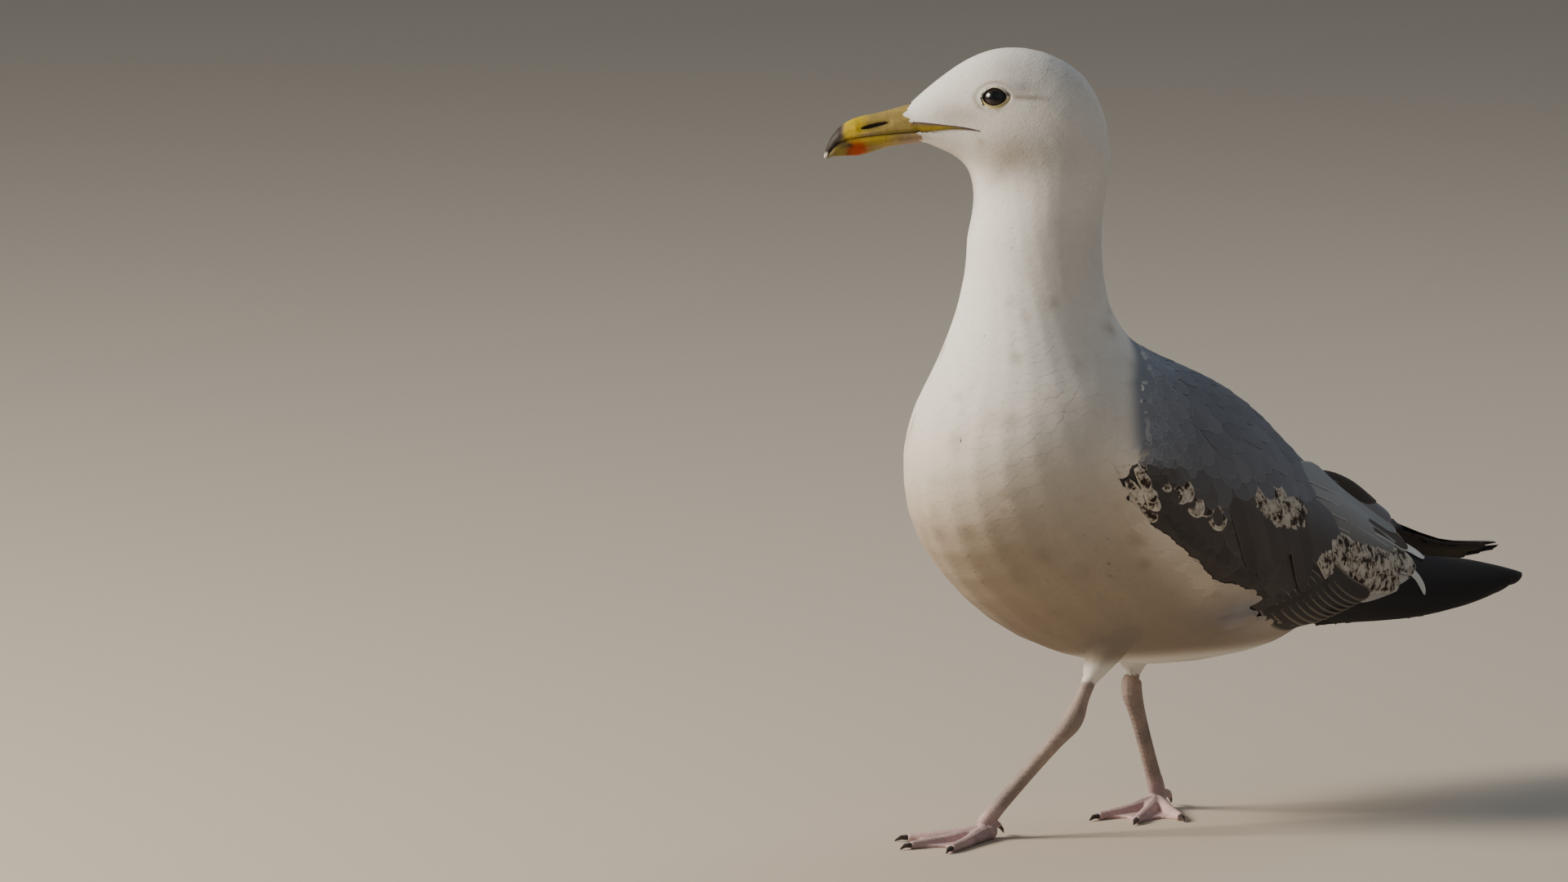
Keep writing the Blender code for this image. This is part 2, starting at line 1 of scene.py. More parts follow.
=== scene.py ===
"""Looks of a large white-headed gull in a slow walk.

One skin covers the bird's flesh.  Over it lie feathers as thin meshes: small ones
follow a flow that runs from the bill to the tail, and the wings' long vanes are laid
out in rows.  Work is done in millimetres in the body frame, whose origin lies under
the neck, with -Y ahead, +X to the bird's left and the floor at z = 0.
"""
import math

import bmesh
import bpy
import numpy as np
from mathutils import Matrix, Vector
from mathutils.bvhtree import BVHTree
from mathutils.kdtree import KDTree


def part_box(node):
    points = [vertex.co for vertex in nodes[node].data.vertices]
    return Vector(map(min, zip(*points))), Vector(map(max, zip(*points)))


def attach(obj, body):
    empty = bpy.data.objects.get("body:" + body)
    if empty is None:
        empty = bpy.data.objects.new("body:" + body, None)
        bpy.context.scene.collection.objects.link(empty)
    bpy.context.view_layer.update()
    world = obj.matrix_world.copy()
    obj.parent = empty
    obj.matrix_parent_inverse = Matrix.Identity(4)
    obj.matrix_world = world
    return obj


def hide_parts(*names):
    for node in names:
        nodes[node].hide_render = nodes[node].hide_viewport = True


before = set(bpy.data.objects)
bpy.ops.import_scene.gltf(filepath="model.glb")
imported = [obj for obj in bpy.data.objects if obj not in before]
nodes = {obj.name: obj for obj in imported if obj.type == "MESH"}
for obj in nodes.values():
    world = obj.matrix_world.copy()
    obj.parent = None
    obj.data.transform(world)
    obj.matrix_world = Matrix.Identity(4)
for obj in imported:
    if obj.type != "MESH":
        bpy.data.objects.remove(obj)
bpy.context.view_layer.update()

MM = 0.001
TAIL_END_Y = 262.0         # body-frame place of the tail's hind end
SHIFT = np.array([0.0, TAIL_END_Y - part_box("tail")[1].y / MM, 0.0])

# the head's own frame: ahead of and beside the neck's upright axis
HEAD_YAW = math.radians(-34.0)
NECK_AXIS_Y = -48.0
AHEAD = np.array([math.sin(HEAD_YAW), -math.cos(HEAD_YAW), 0.0])
LEFT = np.array([math.cos(HEAD_YAW), math.sin(HEAD_YAW), 0.0])


# ------------------------------------------------------------------ small helpers
def smooth(value, low=0.0, high=1.0):
    """Smooth step from 0 at `low` to 1 at `high`."""
    part = np.clip((np.asarray(value, float) - low) / (high - low), 0.0, 1.0)
    return part * part * (3.0 - 2.0 * part)


def band(value, rise_from, rise_to, fall_from, fall_to):
    """Smooth step up from 0 to 1, and later down again."""
    return smooth(value, rise_from, rise_to) * (1.0 - smooth(value, fall_from, fall_to))


def toward(value, goal, share):
    """A value moved to a goal by a share of the way."""
    return value + (goal - value) * share


def blot(value, sharp=1.0):
    """Soft spot: 1 at 0, fading out past 1."""
    return np.exp(-np.abs(value) ** (2.0 * sharp))


def oval(a, b, centre, size, sharp=1.0):
    """Soft oval spot of some half size round a centre, in two directions."""
    return blot(np.hypot((a - centre[0]) / size[0], (b - centre[1]) / size[1]), sharp)


def unit(vectors):
    """The same vectors at length 1."""
    length = np.linalg.norm(vectors, axis=-1, keepdims=True)
    return vectors / np.maximum(length, 1e-9)


def head_point(f, l, z):
    """Body-frame point from distance ahead, distance left and height."""
    f, l, z = np.broadcast_arrays(*(np.asarray(v, float) for v in (f, l, z)))
    out = f[..., None] * AHEAD + l[..., None] * LEFT
    out = out + (0.0, NECK_AXIS_Y, 0.0)
    out[..., 2] = z
    return out


def head_frame(points):
    """Distance ahead, distance left and height of body-frame points."""
    local = points - (0.0, NECK_AXIS_Y, 0.0)
    return local @ AHEAD, local @ LEFT, points[..., 2]


def mesh_points(mesh):
    """Vertices of a mesh in body-frame millimetres."""
    co = np.empty(len(mesh.vertices) * 3)
    mesh.vertices.foreach_get("co", co)
    return co.reshape(-1, 3) / MM + SHIFT


def mesh_triangles(mesh):
    """Vertex numbers of a mesh's triangles."""
    mesh.calc_loop_triangles()
    index = np.empty(len(mesh.loop_triangles) * 3, int)
    mesh.loop_triangles.foreach_get("vertices", index)
    return index.reshape(-1, 3)


def node_arrays(*names):
    """Vertices in body-frame millimetres and triangles of some CAD nodes."""
    verts = []
    tris = []
    count = 0
    for name in names:
        mesh = nodes[name].data
        verts.append(mesh_points(mesh))
        tris.append(mesh_triangles(mesh) + count)
        count += len(mesh.vertices)
    return np.concatenate(verts), np.concatenate(tris)


def tree_of(*names):
    """Search tree over some CAD nodes."""
    verts, tris = node_arrays(*names)
    return BVHTree.FromPolygons(verts.tolist(), tris.tolist())


def place_points(mesh, verts):
    """Set a mesh's vertices from body-frame millimetres."""
    mesh.vertices.foreach_set("co", ((verts - SHIFT) * MM).astype(np.float32).ravel())


def mesh_from(name, verts, groups):
    """Mesh in metres from body-frame millimetres and arrays of like-sided faces."""
    mesh = bpy.data.meshes.new(name)
    mesh.vertices.add(len(verts))
    place_points(mesh, verts)
    corners = np.concatenate([g.ravel() for g in groups])
    totals = np.concatenate([np.full(len(g), g.shape[1]) for g in groups])
    mesh.loops.add(len(corners))
    mesh.loops.foreach_set("vertex_index", corners.astype(np.int32))
    mesh.polygons.add(len(totals))
    starts = np.concatenate([[0], np.cumsum(totals)[:-1]])
    mesh.polygons.foreach_set("loop_start", starts.astype(np.int32))
    mesh.update(calc_edges=True)
    mesh.shade_smooth()
    return mesh


def add_attributes(mesh, colours=None, vectors=None, values=None):
    """Point attributes that the materials read."""
    for name, data in (colours or {}).items():
        layer = mesh.color_attributes.new(name, 'FLOAT_COLOR', 'POINT')
        rgba = np.ones((len(data), 4), np.float32)
        rgba[:, :3] = data
        layer.data.foreach_set("color", rgba.ravel())
    for name, data in (vectors or {}).items():
        layer = mesh.attributes.new(name, 'FLOAT_VECTOR', 'POINT')
        layer.data.foreach_set("vector", data.astype(np.float32).ravel())
    for name, data in (values or {}).items():
        layer = mesh.attributes.new(name, 'FLOAT', 'POINT')
        layer.data.foreach_set("value", np.asarray(data, np.float32))


def add_bake_map(mesh, uv):
    """UV map for baking from one place per vertex."""
    layer = mesh.uv_layers.new(name="OFBake")
    index = np.empty(len(mesh.loops), np.int32)
    mesh.loops.foreach_get("vertex_index", index)
    layer.uv.foreach_set("vector", uv[index].astype(np.float32).ravel())


def piece(mesh, material, replaced=()):
    """Make a visible object of a mesh, riding on the bird's one body."""
    item = bpy.data.objects.new(mesh.name, mesh)
    bpy.context.scene.collection.objects.link(item)
    mesh.materials.append(material)
    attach(item, "root")
    if replaced:
        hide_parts(*replaced)


def mesh_to_object(name, verts, groups):
    """Object for a passing step, from the arrays that mesh_from takes."""
    item = bpy.data.objects.new(name, mesh_from(name, verts, groups))
    bpy.context.scene.collection.objects.link(item)
    return item


def evaluated_mesh(item):
    """New mesh of an object with its modifiers applied."""
    graph = bpy.context.evaluated_depsgraph_get()
    return bpy.data.meshes.new_from_object(item.evaluated_get(graph))


def discard(item):
    """Remove an object and its mesh."""
    mesh = item.data
    bpy.data.objects.remove(item)
    bpy.data.meshes.remove(mesh)


def remeshed(verts, faces, voxel, rounds):
    """Closed even mesh round whatever the given faces enclose: vertices and quads."""
    item = mesh_to_object("shell", verts, [faces])
    mod = item.modifiers.new("remesh", 'REMESH')
    mod.mode = 'VOXEL'
    mod.voxel_size = voxel * MM
    made = evaluated_mesh(item)
    co = mesh_points(made)
    index = np.empty(len(made.loops), np.int32)
    made.loops.foreach_get("vertex_index", index)
    quads = index.reshape(-1, 4)
    discard(item)
    bpy.data.meshes.remove(made)
    return relaxed(co, quads, rounds), quads


def voxel_shell(names, voxel, rounds, extra=None):
    """The same round some CAD nodes and one more closed mesh."""
    verts, tris = node_arrays(*names)
    if extra is not None:
        tris = np.concatenate([tris, extra[1] + len(verts)])
        verts = np.concatenate([verts, extra[0]])
    return remeshed(verts, tris, voxel, rounds)


def combined(first, others, operation):
    """Mesh of a boolean between closed solids, each given as mesh_from takes it."""
    item = mesh_to_object("first", *first)
    tools = []
    for index, other in enumerate(others):
        tool = mesh_to_object("tool%d" % index, *other)
        mod = item.modifiers.new("join%d" % index, 'BOOLEAN')
        mod.operation = operation
        mod.solver = 'EXACT'
        mod.object = tool
        tools.append(tool)
    mesh = evaluated_mesh(item)
    for extra in tools + [item]:
        discard(extra)
    return mesh


def edges_of(quads):
    """Pairs of neighbouring vertices, each pair both ways round."""
    pairs = np.concatenate([quads[:, [0, 1]], quads[:, [1, 2]], quads[:, [2, 3]], quads[:, [3, 0]]])
    pairs = np.unique(np.sort(pairs, axis=1), axis=0)
    return np.concatenate([pairs, pairs[:, ::-1]])


def spread(values, pairs, count):
    """Mean over each vertex's neighbours."""
    degree = np.maximum(np.bincount(pairs[:, 0], minlength=count), 1)
    if values.ndim == 1:
        return np.bincount(pairs[:, 0], values[pairs[:, 1]], minlength=count) / degree
    return np.stack([np.bincount(pairs[:, 0], column[pairs[:, 1]], minlength=count) / degree
                     for column in values.T], axis=1)


SHRINK = 0.5               # shares of the two opposite steps of the smoothing
GROW = 0.52


def relaxed(co, quads, rounds):
    """Taubin smoothing, which keeps the volume."""
    pairs = edges_of(quads)
    for _ in range(rounds):
        co = co + SHRINK * (spread(co, pairs, len(co)) - co)
        co = co - GROW * (spread(co, pairs, len(co)) - co)
    return co


def split_quads(quads):
    """Two triangles for each quad."""
    return np.concatenate([quads[:, [0, 1, 2]], quads[:, [0, 2, 3]]])


def vertex_normals(co, tris):
    """Outward normals at the vertices, weighted by area."""
    face = np.cross(co[tris[:, 1]] - co[tris[:, 0]], co[tris[:, 2]] - co[tris[:, 0]])
    out = np.zeros_like(co)
    for corner in range(3):
        for axis in range(3):
            out[:, axis] += np.bincount(tris[:, corner], face[:, axis], minlength=len(co))
    return unit(out)


class Surface:
    """Triangle surface that can be asked for its nearest points."""

    def __init__(self, co, tris):
        self.co = co
        self.tris = tris
        self.normal = vertex_normals(co, tris)
        self.tree = BVHTree.FromPolygons(co.tolist(), tris.tolist())

    def nearest(self, points):
        """Nearest point, face and corner weights for each point."""
        find = self.tree.find_nearest
        place = np.empty((len(points), 3))
        face = np.empty(len(points), int)
        for row, point in enumerate(points.tolist()):
            hit = find(point)
            place[row] = hit[0]
            face[row] = hit[2]
        corner = self.co[self.tris[face]]
        one = corner[:, 1] - corner[:, 0]
        two = corner[:, 2] - corner[:, 0]
        rest = place - corner[:, 0]
        d11 = (one * one).sum(1)
        d12 = (one * two).sum(1)
        d22 = (two * two).sum(1)
        r1 = (rest * one).sum(1)
        r2 = (rest * two).sum(1)
        scale = np.maximum(d11 * d22 - d12 * d12, 1e-12)
        v = (d22 * r1 - d12 * r2) / scale
        w = (d11 * r2 - d12 * r1) / scale
        return place, face, np.stack([1 - v - w, v, w], 1)

    def read(self, values, face, weight):
        """Values kept at the vertices, read at places in faces."""
        return (values[self.tris[face]] * weight[:, :, None]).sum(1)


# ------------------------------------------------------------------ the bird's surface
FLESH = ("head", "neck_upper", "neck_lower", "trunk", "thigh_l", "thigh_r")
WING_BASES = ("wing_l_coverts", "wing_r_coverts")
WING_ENDS = ("wing_l_tertials", "wing_l_primaries", "wing_r_tertials", "wing_r_primaries")
BODY_VOXEL = 2.4
EYE_CENTRE = (22.4, 15.4, 379.2)     # of the ball: ahead of the neck axis, aside, height
EYE_RADIUS = 7.5
EYE_AXIS = (0.21, 0.95, 0.24)        # the way each eye looks: ahead, aside, up
LID_OPENING = (6.2, 4.65)            # half length and half height of the opening
LID_CORNERS = 1.8                    # 2 is an ellipse, less has sharper corners
NOWHERE = 99.0                       # place across the lids far from any eye
SIDES = ((1, "l"), (-1, "r"))


def head_way(f, l, z):
    """Body-frame unit vector from its parts ahead, aside and up."""
    return unit(f * AHEAD + l * LEFT + np.array([0.0, 0.0, z]))


def eye_frame(side):
    """Ball centre and the eye's own axes: ahead, up and outward."""
    f, l, z = EYE_CENTRE
    centre = head_point(f, l * side, z)
    out = head_way(EYE_AXIS[0], EYE_AXIS[1] * side, EYE_AXIS[2])
    ahead = unit(AHEAD - out * (AHEAD @ out))
    up = np.cross(ahead, out) * side
    return centre, ahead, up, out


def eye_place(points, side):
    """Points seen along the eye's axis: ahead, up and outward of the ball's centre."""
    centre, ahead, up, out = eye_frame(side)
    rel = points - centre
    return rel @ ahead, rel @ up, rel @ out


def eye_rim(points, side):
    """Place across the lids: 1 on the opening's rim, more outside it; and the place ahead, up."""
    a, b, h = eye_place(points, side)
    share = (np.abs(a / LID_OPENING[0]) ** LID_CORNERS
             + np.abs(b / LID_OPENING[1]) ** LID_CORNERS) ** (1 / LID_CORNERS)
    return np.where(h > 0, share, NOWHERE), a, b


def eye_clearance(points):
    """Smallest place across either eye's lids."""
    return np.minimum(eye_rim(points, 1)[0], eye_rim(points, -1)[0])


# line (y, z) through the body's middle from the bill's tip to the tail, head turned straight
BODY_LINE = ((-105, 366), (-60, 372), (-48, 330), (-48, 290), (-30, 215), (20, 170), (110, 140),
             (290, 110))
HEAT_ROUNDS = 900
LIE_ROUNDS = 6
DOWN_LEG = np.array([0.0, -0.25, -0.97])


def along_body(co):
    """Share of the way along the body's line, read at the line's nearest point."""
    line = np.array(BODY_LINE, float)
    start = line[:-1]
    step = line[1:] - start
    length = np.linalg.norm(step, axis=1)
    before = np.concatenate([[0], np.cumsum(length)[:-1]])
    f, _, z = head_frame(co)
    turned = np.stack([np.where(z > 330, NECK_AXIS_Y - f, co[:, 1]), z], 1)
    rel = turned[:, None, :] - start[None]
    part = np.clip((rel * step).sum(2) / length ** 2, 0, 1)
    gap = np.linalg.norm(rel - part[..., None] * step, axis=2)
    pick = gap.argmin(axis=1)
    heat = before[pick] + part[np.arange(len(co)), pick] * length[pick]
    return heat / length.sum()


def flow_field(co, quads):
    """Lie of the feathers: up the slope of a heat flow from the bill to the tail."""
    pairs = edges_of(quads)
    heat = along_body(co)
    f, _, z = head_frame(co)
    cold = (f > 80.0) & (z > 340)
    hot = co[:, 1] > 255.0
    for _ in range(HEAT_ROUNDS):
        heat = spread(heat, pairs, len(co))
        heat[cold] = 0.0
        heat[hot] = 1.0
    way = np.zeros_like(co)
    delta = co[pairs[:, 1]] - co[pairs[:, 0]]
    rise = (heat[pairs[:, 1]] - heat[pairs[:, 0]]) / (delta ** 2).sum(1)
    for column in range(3):
        way[:, column] = np.bincount(pairs[:, 0], delta[:, column] * rise, minlength=len(co))
    normal = vertex_normals(co, split_quads(quads))
    way = unit(way - normal * (way * normal).sum(1, keepdims=True))
    share = (grey_share(co) * smooth(np.abs(co[:, 0]), 14.0, 44.0))[:, None]
    way = way * (1 - share) + wing_way(co) * share
    share = edge_share(co)[:, None]
    way = unit(way * (1 - share) + low_edge_way(co) * share)
    share = (1.0 - smooth(co[:, 2], 88.0, 99.0))[:, None] * (co[:, 1:2] < 60.0)
    way = unit(way * (1 - share) + DOWN_LEG * share)
    for _ in range(LIE_ROUNDS):
        way = unit(way - normal * (way * normal).sum(1, keepdims=True))
        way = way + spread(way, pairs, len(co))
    way = unit(way - normal * (way * normal).sum(1, keepdims=True))
    return heat, way


# ------------------------------------------------------------------ markings
WHITE = np.array([0.80, 0.77, 0.72])
FLANK_SHADE_BLUE = np.array([0.14, 0.16, 0.225])
CREAM = np.array([0.52, 0.42, 0.30])
DUSKY = np.array([0.30, 0.235, 0.17])
SMOKE = np.array([0.36, 0.345, 0.335])
MANTLE = np.array([0.180, 0.187, 0.216])
PALE_MANTLE = np.array([0.270, 0.290, 0.335])
WING_GREY = np.array([0.094, 0.083, 0.079])
EARTH = np.array([0.058, 0.051, 0.047])
SOOT = np.array([0.013, 0.011, 0.011])
LAVENDER = np.array([0.34, 0.33, 0.375])

# front limit (z, y) of the grey upperparts, seen from the side
GREY_FRONT = ((178, -64), (186, -58), (190, -52), (197, -43), (211, -38), (223, -34),
              (235, -29), (245, -18), (252, -11), (262, 2))
RUMP_START = 128.0

# lie of the wing's feathers at places (y, z), as steps back and up
WING_LIE = (((-46, 186), (0.60, -0.80)), ((-20, 165), (0.62, -0.78)),
            ((0, 200), (0.35, -0.94)), ((15, 165), (0.35, -0.94)),
            ((-10, 230), (0.50, -0.86)), ((30, 215), (0.45, -0.89)),
            ((45, 150), (0.36, -0.93)), ((60, 120), (0.72, -0.69)),
            ((80, 185), (0.50, -0.86)), ((95, 150), (0.35, -0.93)),
            ((92, 106), (0.93, -0.36)), ((130, 150), (0.66, -0.75)),
            ((130, 118), (0.86, -0.50)), ((165, 125), (0.92, -0.38)),
            ((220, 105), (0.98, -0.18)))

# patches of mottled coverts: centre (y, z), half sizes along and across, slope
PATCHES = (((-46.0, 184.0), 20.0, 11.0, -3.0), ((-11.0, 180.0), 18.0, 3.6, -0.36),
           ((9.0, 171.0), 6.0, 3.4, -0.3), ((56.0, 168.0), 24.0, 12.5, -0.35),
           ((12.0, 155.0), 2.6, 5.0, -0.2), ((100.0, 129.0), 17.0, 9.0, -0.3),
           ((124.0, 131.0), 24.0, 12.0, -0.35), ((160.0, 120.0), 28.0, 7.0, -0.2))


# the far wing is carried a little higher and further back than the near one
FAR_LIFT = 14.0
FAR_LIFT_FROM = 60.0
FAR_LIFT_TO = 230.0
FAR_STRETCH_FROM = 95.0
FAR_STRETCH = 0.104
FAR_SHRINK = 0.094


def folded(points):
    """The far wing's points, moved to match the near one's."""
    far = (points[:, 0] < 0) * smooth(points[:, 1], FAR_LIFT_FROM, FAR_LIFT_TO)
    out = points.copy()
    out[:, 2] = points[:, 2] - FAR_LIFT * far
    behind = np.maximum(points[:, 1] - FAR_STRETCH_FROM, 0.0)
    out[:, 1] = points[:, 1] - behind * FAR_SHRINK * (points[:, 0] < 0)
    return out


def wing_way(points):
    """Lie on the wings, blended from the listed places."""
    spot = folded(points)[:, 1:]
    place = np.array([p for p, _ in WING_LIE], float)
    lean = np.array([w for _, w in WING_LIE], float)
    weight = 1.0 / (((spot[:, None] - place[None]) ** 2).sum(2) + 60.0) ** 1.5
    mean = (weight[..., None] * lean[None]).sum(1) / weight.sum(1, keepdims=True)
    return unit(np.concatenate([np.zeros((len(points), 1)), mean], axis=1))


def low_edge_way(points):
    """Lie beside the wings' lower edge: along it."""
    out = np.zeros_like(points)
    out[:, 1] = 1.0
    for sign, _ in SIDES:
        y, z = LOW_EDGE[sign].T
        rise = np.interp(points[:, 1], y, np.gradient(z, y))
        out[:, 2] = np.where(points[:, 0] * sign > 0, rise, out[:, 2])
    return unit(out)


def edge_share(points):
    """How close a point lies to a wing's lower edge, ahead of the wing's tip."""
    high = above_low_edge(points)
    near = (1.0 - smooth(high, 5.0, 19.0)) * (1.0 - smooth(-high, 4.0, 14.0))
    ends = band(points[:, 1], -52.0, -42.0, 150.0, 190.0)
    return near * ends * smooth(np.abs(points[:, 0]), 18.0, 30.0)


EDGE_STEP = 3.0
EDGE_FIELD = ((-54.0, 300.0), (80.0, 250.0))      # places searched for the edge: y, z
OUTSIDE = 150.0            # distance aside from which the bird is looked at
SIGHT = 140.0              # how far the look reaches, to just short of the middle


def wing_low_edge(sign, side):
    """Lower outline (y, z) of what is seen of one wing from the side."""
    wing = tree_of(*(name for name in WING_BASES + WING_ENDS
                     if name.startswith("wing_%s" % side)))
    body = tree_of(*FLESH)
    way = (-sign, 0.0, 0.0)
    out = []
    for y in np.arange(*EDGE_FIELD[0], EDGE_STEP):
        for z in np.arange(*EDGE_FIELD[1], 1.0):
            start = (sign * OUTSIDE, y, z)
            far = wing.ray_cast(start, way, SIGHT)[3]
            hidden = body.ray_cast(start, way, SIGHT)[3]
            if far is not None and (hidden is None or far < hidden):
                out.append((y, z))
                break
    out = np.array(out)
    for _ in range(3):
        out[1:-1, 1] = (out[:-2, 1] + 2 * out[1:-1, 1] + out[2:, 1]) / 4
    return out


LOW_EDGE = {sign: wing_low_edge(sign, side) for sign, side in SIDES}

# where the flank's white ends on the front of the folded wings: (y, z)
WHITE_LIMIT = ((-60, 190), (-54, 189), (-44, 178), (-38, 166), (-25, 156), (-4, 142), (5, 133),
               (15, 128), (32, 124.5), (40, 100))
VENT_DROP = 7.0            # how far the dark reaches down over the body behind the fan
for edge in LOW_EDGE.values():
    place = edge[:, 0]
    edge[:, 1] -= VENT_DROP * band(place, 92.0, 104.0, 150.0, 170.0)
    edge[:, 1] = np.maximum(edge[:, 1], np.interp(place, *np.array(WHITE_LIMIT).T))


def above_low_edge(points):
    """Height over the wings' lower outline."""
    edge = [np.interp(points[:, 1], LOW_EDGE[s][:, 0], LOW_EDGE[s][:, 1]) for s in (1, -1)]
    return points[:, 2] - np.where(points[:, 0] > 0, edge[0], edge[1])


def behind_front(points):
    """How far points lie behind the front limit of the grey."""
    front = np.array(GREY_FRONT, float)
    return points[:, 1] - np.interp(points[:, 2], front[:, 0], front[:, 1])


def grey_share(points):
    """How far a point lies within the grey upperparts, from 0 to 1."""
    share = smooth(behind_front(points), -2.0, 5.0) * smooth(above_low_edge(points), -0.8, 0.8)
    middle = 1.0 - smooth(np.abs(points[:, 0]), 16.0, 24.0)
    return share * (1.0 - middle * smooth(points[:, 1], RUMP_START, RUMP_START + 14.0))


def mottle_share(points):
    """How far a point lies within the mottled patches of the wing coverts."""
    spot = folded(points)
    out = np.zeros(len(points))
    for (y, z), along, across, slope in PATCHES:
        lean = math.atan(slope)
        dy = spot[:, 1] - y
        dz = spot[:, 2] - z
        a = (dy * math.cos(lean) + dz * math.sin(lean)) / along
        b = (dz * math.cos(lean) - dy * math.sin(lean)) / across
        out = np.maximum(out, 1.0 - smooth(np.hypot(a, b), 0.7, 1.3))
    return out * smooth(np.abs(points[:, 0]), 20.0, 30.0)


SMUDGE_STRENGTH = 0.55
SMUDGE_LIMIT = 0.6


def smudged(points):
    """Strength of the small soft stains scattered over the breast and belly."""
    out = np.zeros(len(points))
    for x, y, z, size, strength in SMUDGES:
        near = np.abs(points[:, 1] - y) < size * 2.5
        rel = (points[near] - (x, y, z)) / (size, size * 1.4, size)
        out[near] += SMUDGE_STRENGTH * strength * np.exp(-(rel ** 2).sum(1))
    return np.minimum(out, SMUDGE_LIMIT)


class Paint:
    """Colours at points, shaded over tone by tone."""

    def __init__(self, colour, count=None):
        self.colour = colour if count is None else np.tile(colour, (count, 1))

    def shade(self, tone, amount):
        """Turn the colours towards a tone by a share at each point."""
        self.colour = toward(self.colour, tone, np.clip(amount, 0, 1)[:, None])


def head_markings(points, shade):
    """Smoky marks round the eye, painted shade round the lids, dusky lores, and a cheek partly
    darkened by painted shade.
    """
    f, l, z = head_frame(points)
    on_head = smooth(z, 318, 330)
    side = smooth(np.abs(l), 6.0, 14.0)
    ef, _, ez = EYE_CENTRE
    # grey smudge over and behind the eye, and the thin line that runs back from it
    shade(SMOKE, 0.72 * on_head * side * oval(f, z, (ef - 12, ez + 6), (8, 4)))
    shade(SMOKE, 0.34 * on_head * oval(f, z, (ef - 12, ez + 14), (16, 8)))
    shade(DUSKY, 0.72 * on_head * side * blot((z - ez - 2.0 + 0.05 * (ef - f)) / 1.3)
          * band(ef - f, 7.0, 10.0, 16.0, 32.0))
    # painted shade in a ring round the lids, strongest in front and above
    for sign, _ in SIDES:
        share, a, b = eye_rim(points, sign)
        strength = 0.22 + 0.38 * smooth(a + 0.7 * b, -2.0, 5.0)
        shade(DUSKY, strength * blot((share - 1.66) / 0.20))
    # brownish lores, grey dusting on the cheek, a dusky lower cheek that is partly painted shade,
    # and one small dark spot
    shade(DUSKY, 0.44 * on_head * side * oval(f, z, (42, 371), (13, 6)))
    shade(SMOKE, 0.20 * on_head * oval(f, z, (2, 352), (22, 16)))
    # dusky lower cheek, partly painted shade
    shade(DUSKY, 0.68 * on_head * oval(f, z, (19, 351), (25, 12)))
    shade(DUSKY, 0.5 * side * oval(f, z, (30.5, 357.5), (1.6, 2.2)))


def soiling_and_shade(points, over_edge, shade):
    """Soiled breast and belly, partly painted shade that darkens them towards the bottom; and
    painted bluish shade on the flank under the wing.
    """
    _, y, z = points.T
    body = 1 - smooth(z, 318, 330)
    spared = 1.0 - 0.4 * blot(over_edge / 14.0) * smooth(y, -50.0, -20.0)
    spared = spared * (0.05 + 0.95 * smooth(z, 85, 95))
    # soiling and painted shade together: darker towards the bottom, less so along the wing's lower
    # edge, and almost none at the very bottom by the legs
    shade(CREAM, 0.92 * (1 - smooth(z, 120, 268)) * body * spared)
    shade(DUSKY, 0.84 * (1 - smooth(z, 92, 226)) * body * spared)
    shade(EARTH * 2.5, 0.30 * (1 - smooth(z, 96, 130)) * body * spared)
    shade(DUSKY, 0.50 * body * oval(y, z, (-112, 148), (34, 22)))
    # painted bluish shade on the flank, under the wing's lower edge
    shade(FLANK_SHADE_BLUE, 0.70 * oval(y, z, (42, 112), (20, 10)))
    shade(DUSKY, smudged(points) * (1 - smooth(z, 225, 345)) * body)
    shade(SMOKE, 0.20 * blot((z - 300.0) / 26.0) * (y > NECK_AXIS_Y - 10))


def markings(points, grey=None):
    """Colour of the plumage at body-frame points; `grey` says which are upperparts."""
    over_edge = above_low_edge(points)
    paint = Paint(WHITE, len(points))
    head_markings(points, paint.shade)
    soiling_and_shade(points, over_edge, paint.shade)
    if grey is None:
        grey = grey_share(points)
    spot = folded(points)
    behind = behind_front(spot)
    shoulder = smooth(spot[:, 2], 196.0, 206.0) * (spot[:, 1] < 40.0)
    upperparts = Paint(WING_GREY, len(points))
    upperparts.shade(MANTLE, smooth(spot[:, 2] + 0.42 * spot[:, 1], 176, 220))
    upperparts.shade(EARTH, (1 - smooth(over_edge, 8.0, 42.0)) * 0.75)
    upperparts.shade(PALE_MANTLE, (1 - smooth(behind, 0.0, 42.0)) * shoulder * 0.7)
    beneath = smooth(spot[:, 1], 98.0, 106.0) * (1 - smooth(over_edge, 7.0, 10.0))
    upperparts.shade(SOOT, np.maximum(smooth(spot[:, 1], 180.0, 205.0), beneath))
    # the grey begins softly at the shoulder
    soft = smooth(behind, -6.0, 5.0) * smooth(over_edge, -1.0, 2.0)
    paint.shade(upperparts.colour, toward(grey, soft, shoulder))
    return np.clip(paint.colour, 0.0, 1.0)


def node_gap(points, *names):
    """Distance from each point to the surface of some CAD nodes."""
    tree = tree_of(*names)
    return np.array([tree.find_nearest(point)[3] for point in points.tolist()])


EASE_REACH = 6             # steps from the border between wings and body that get eased
EASE_ROUNDS = 160


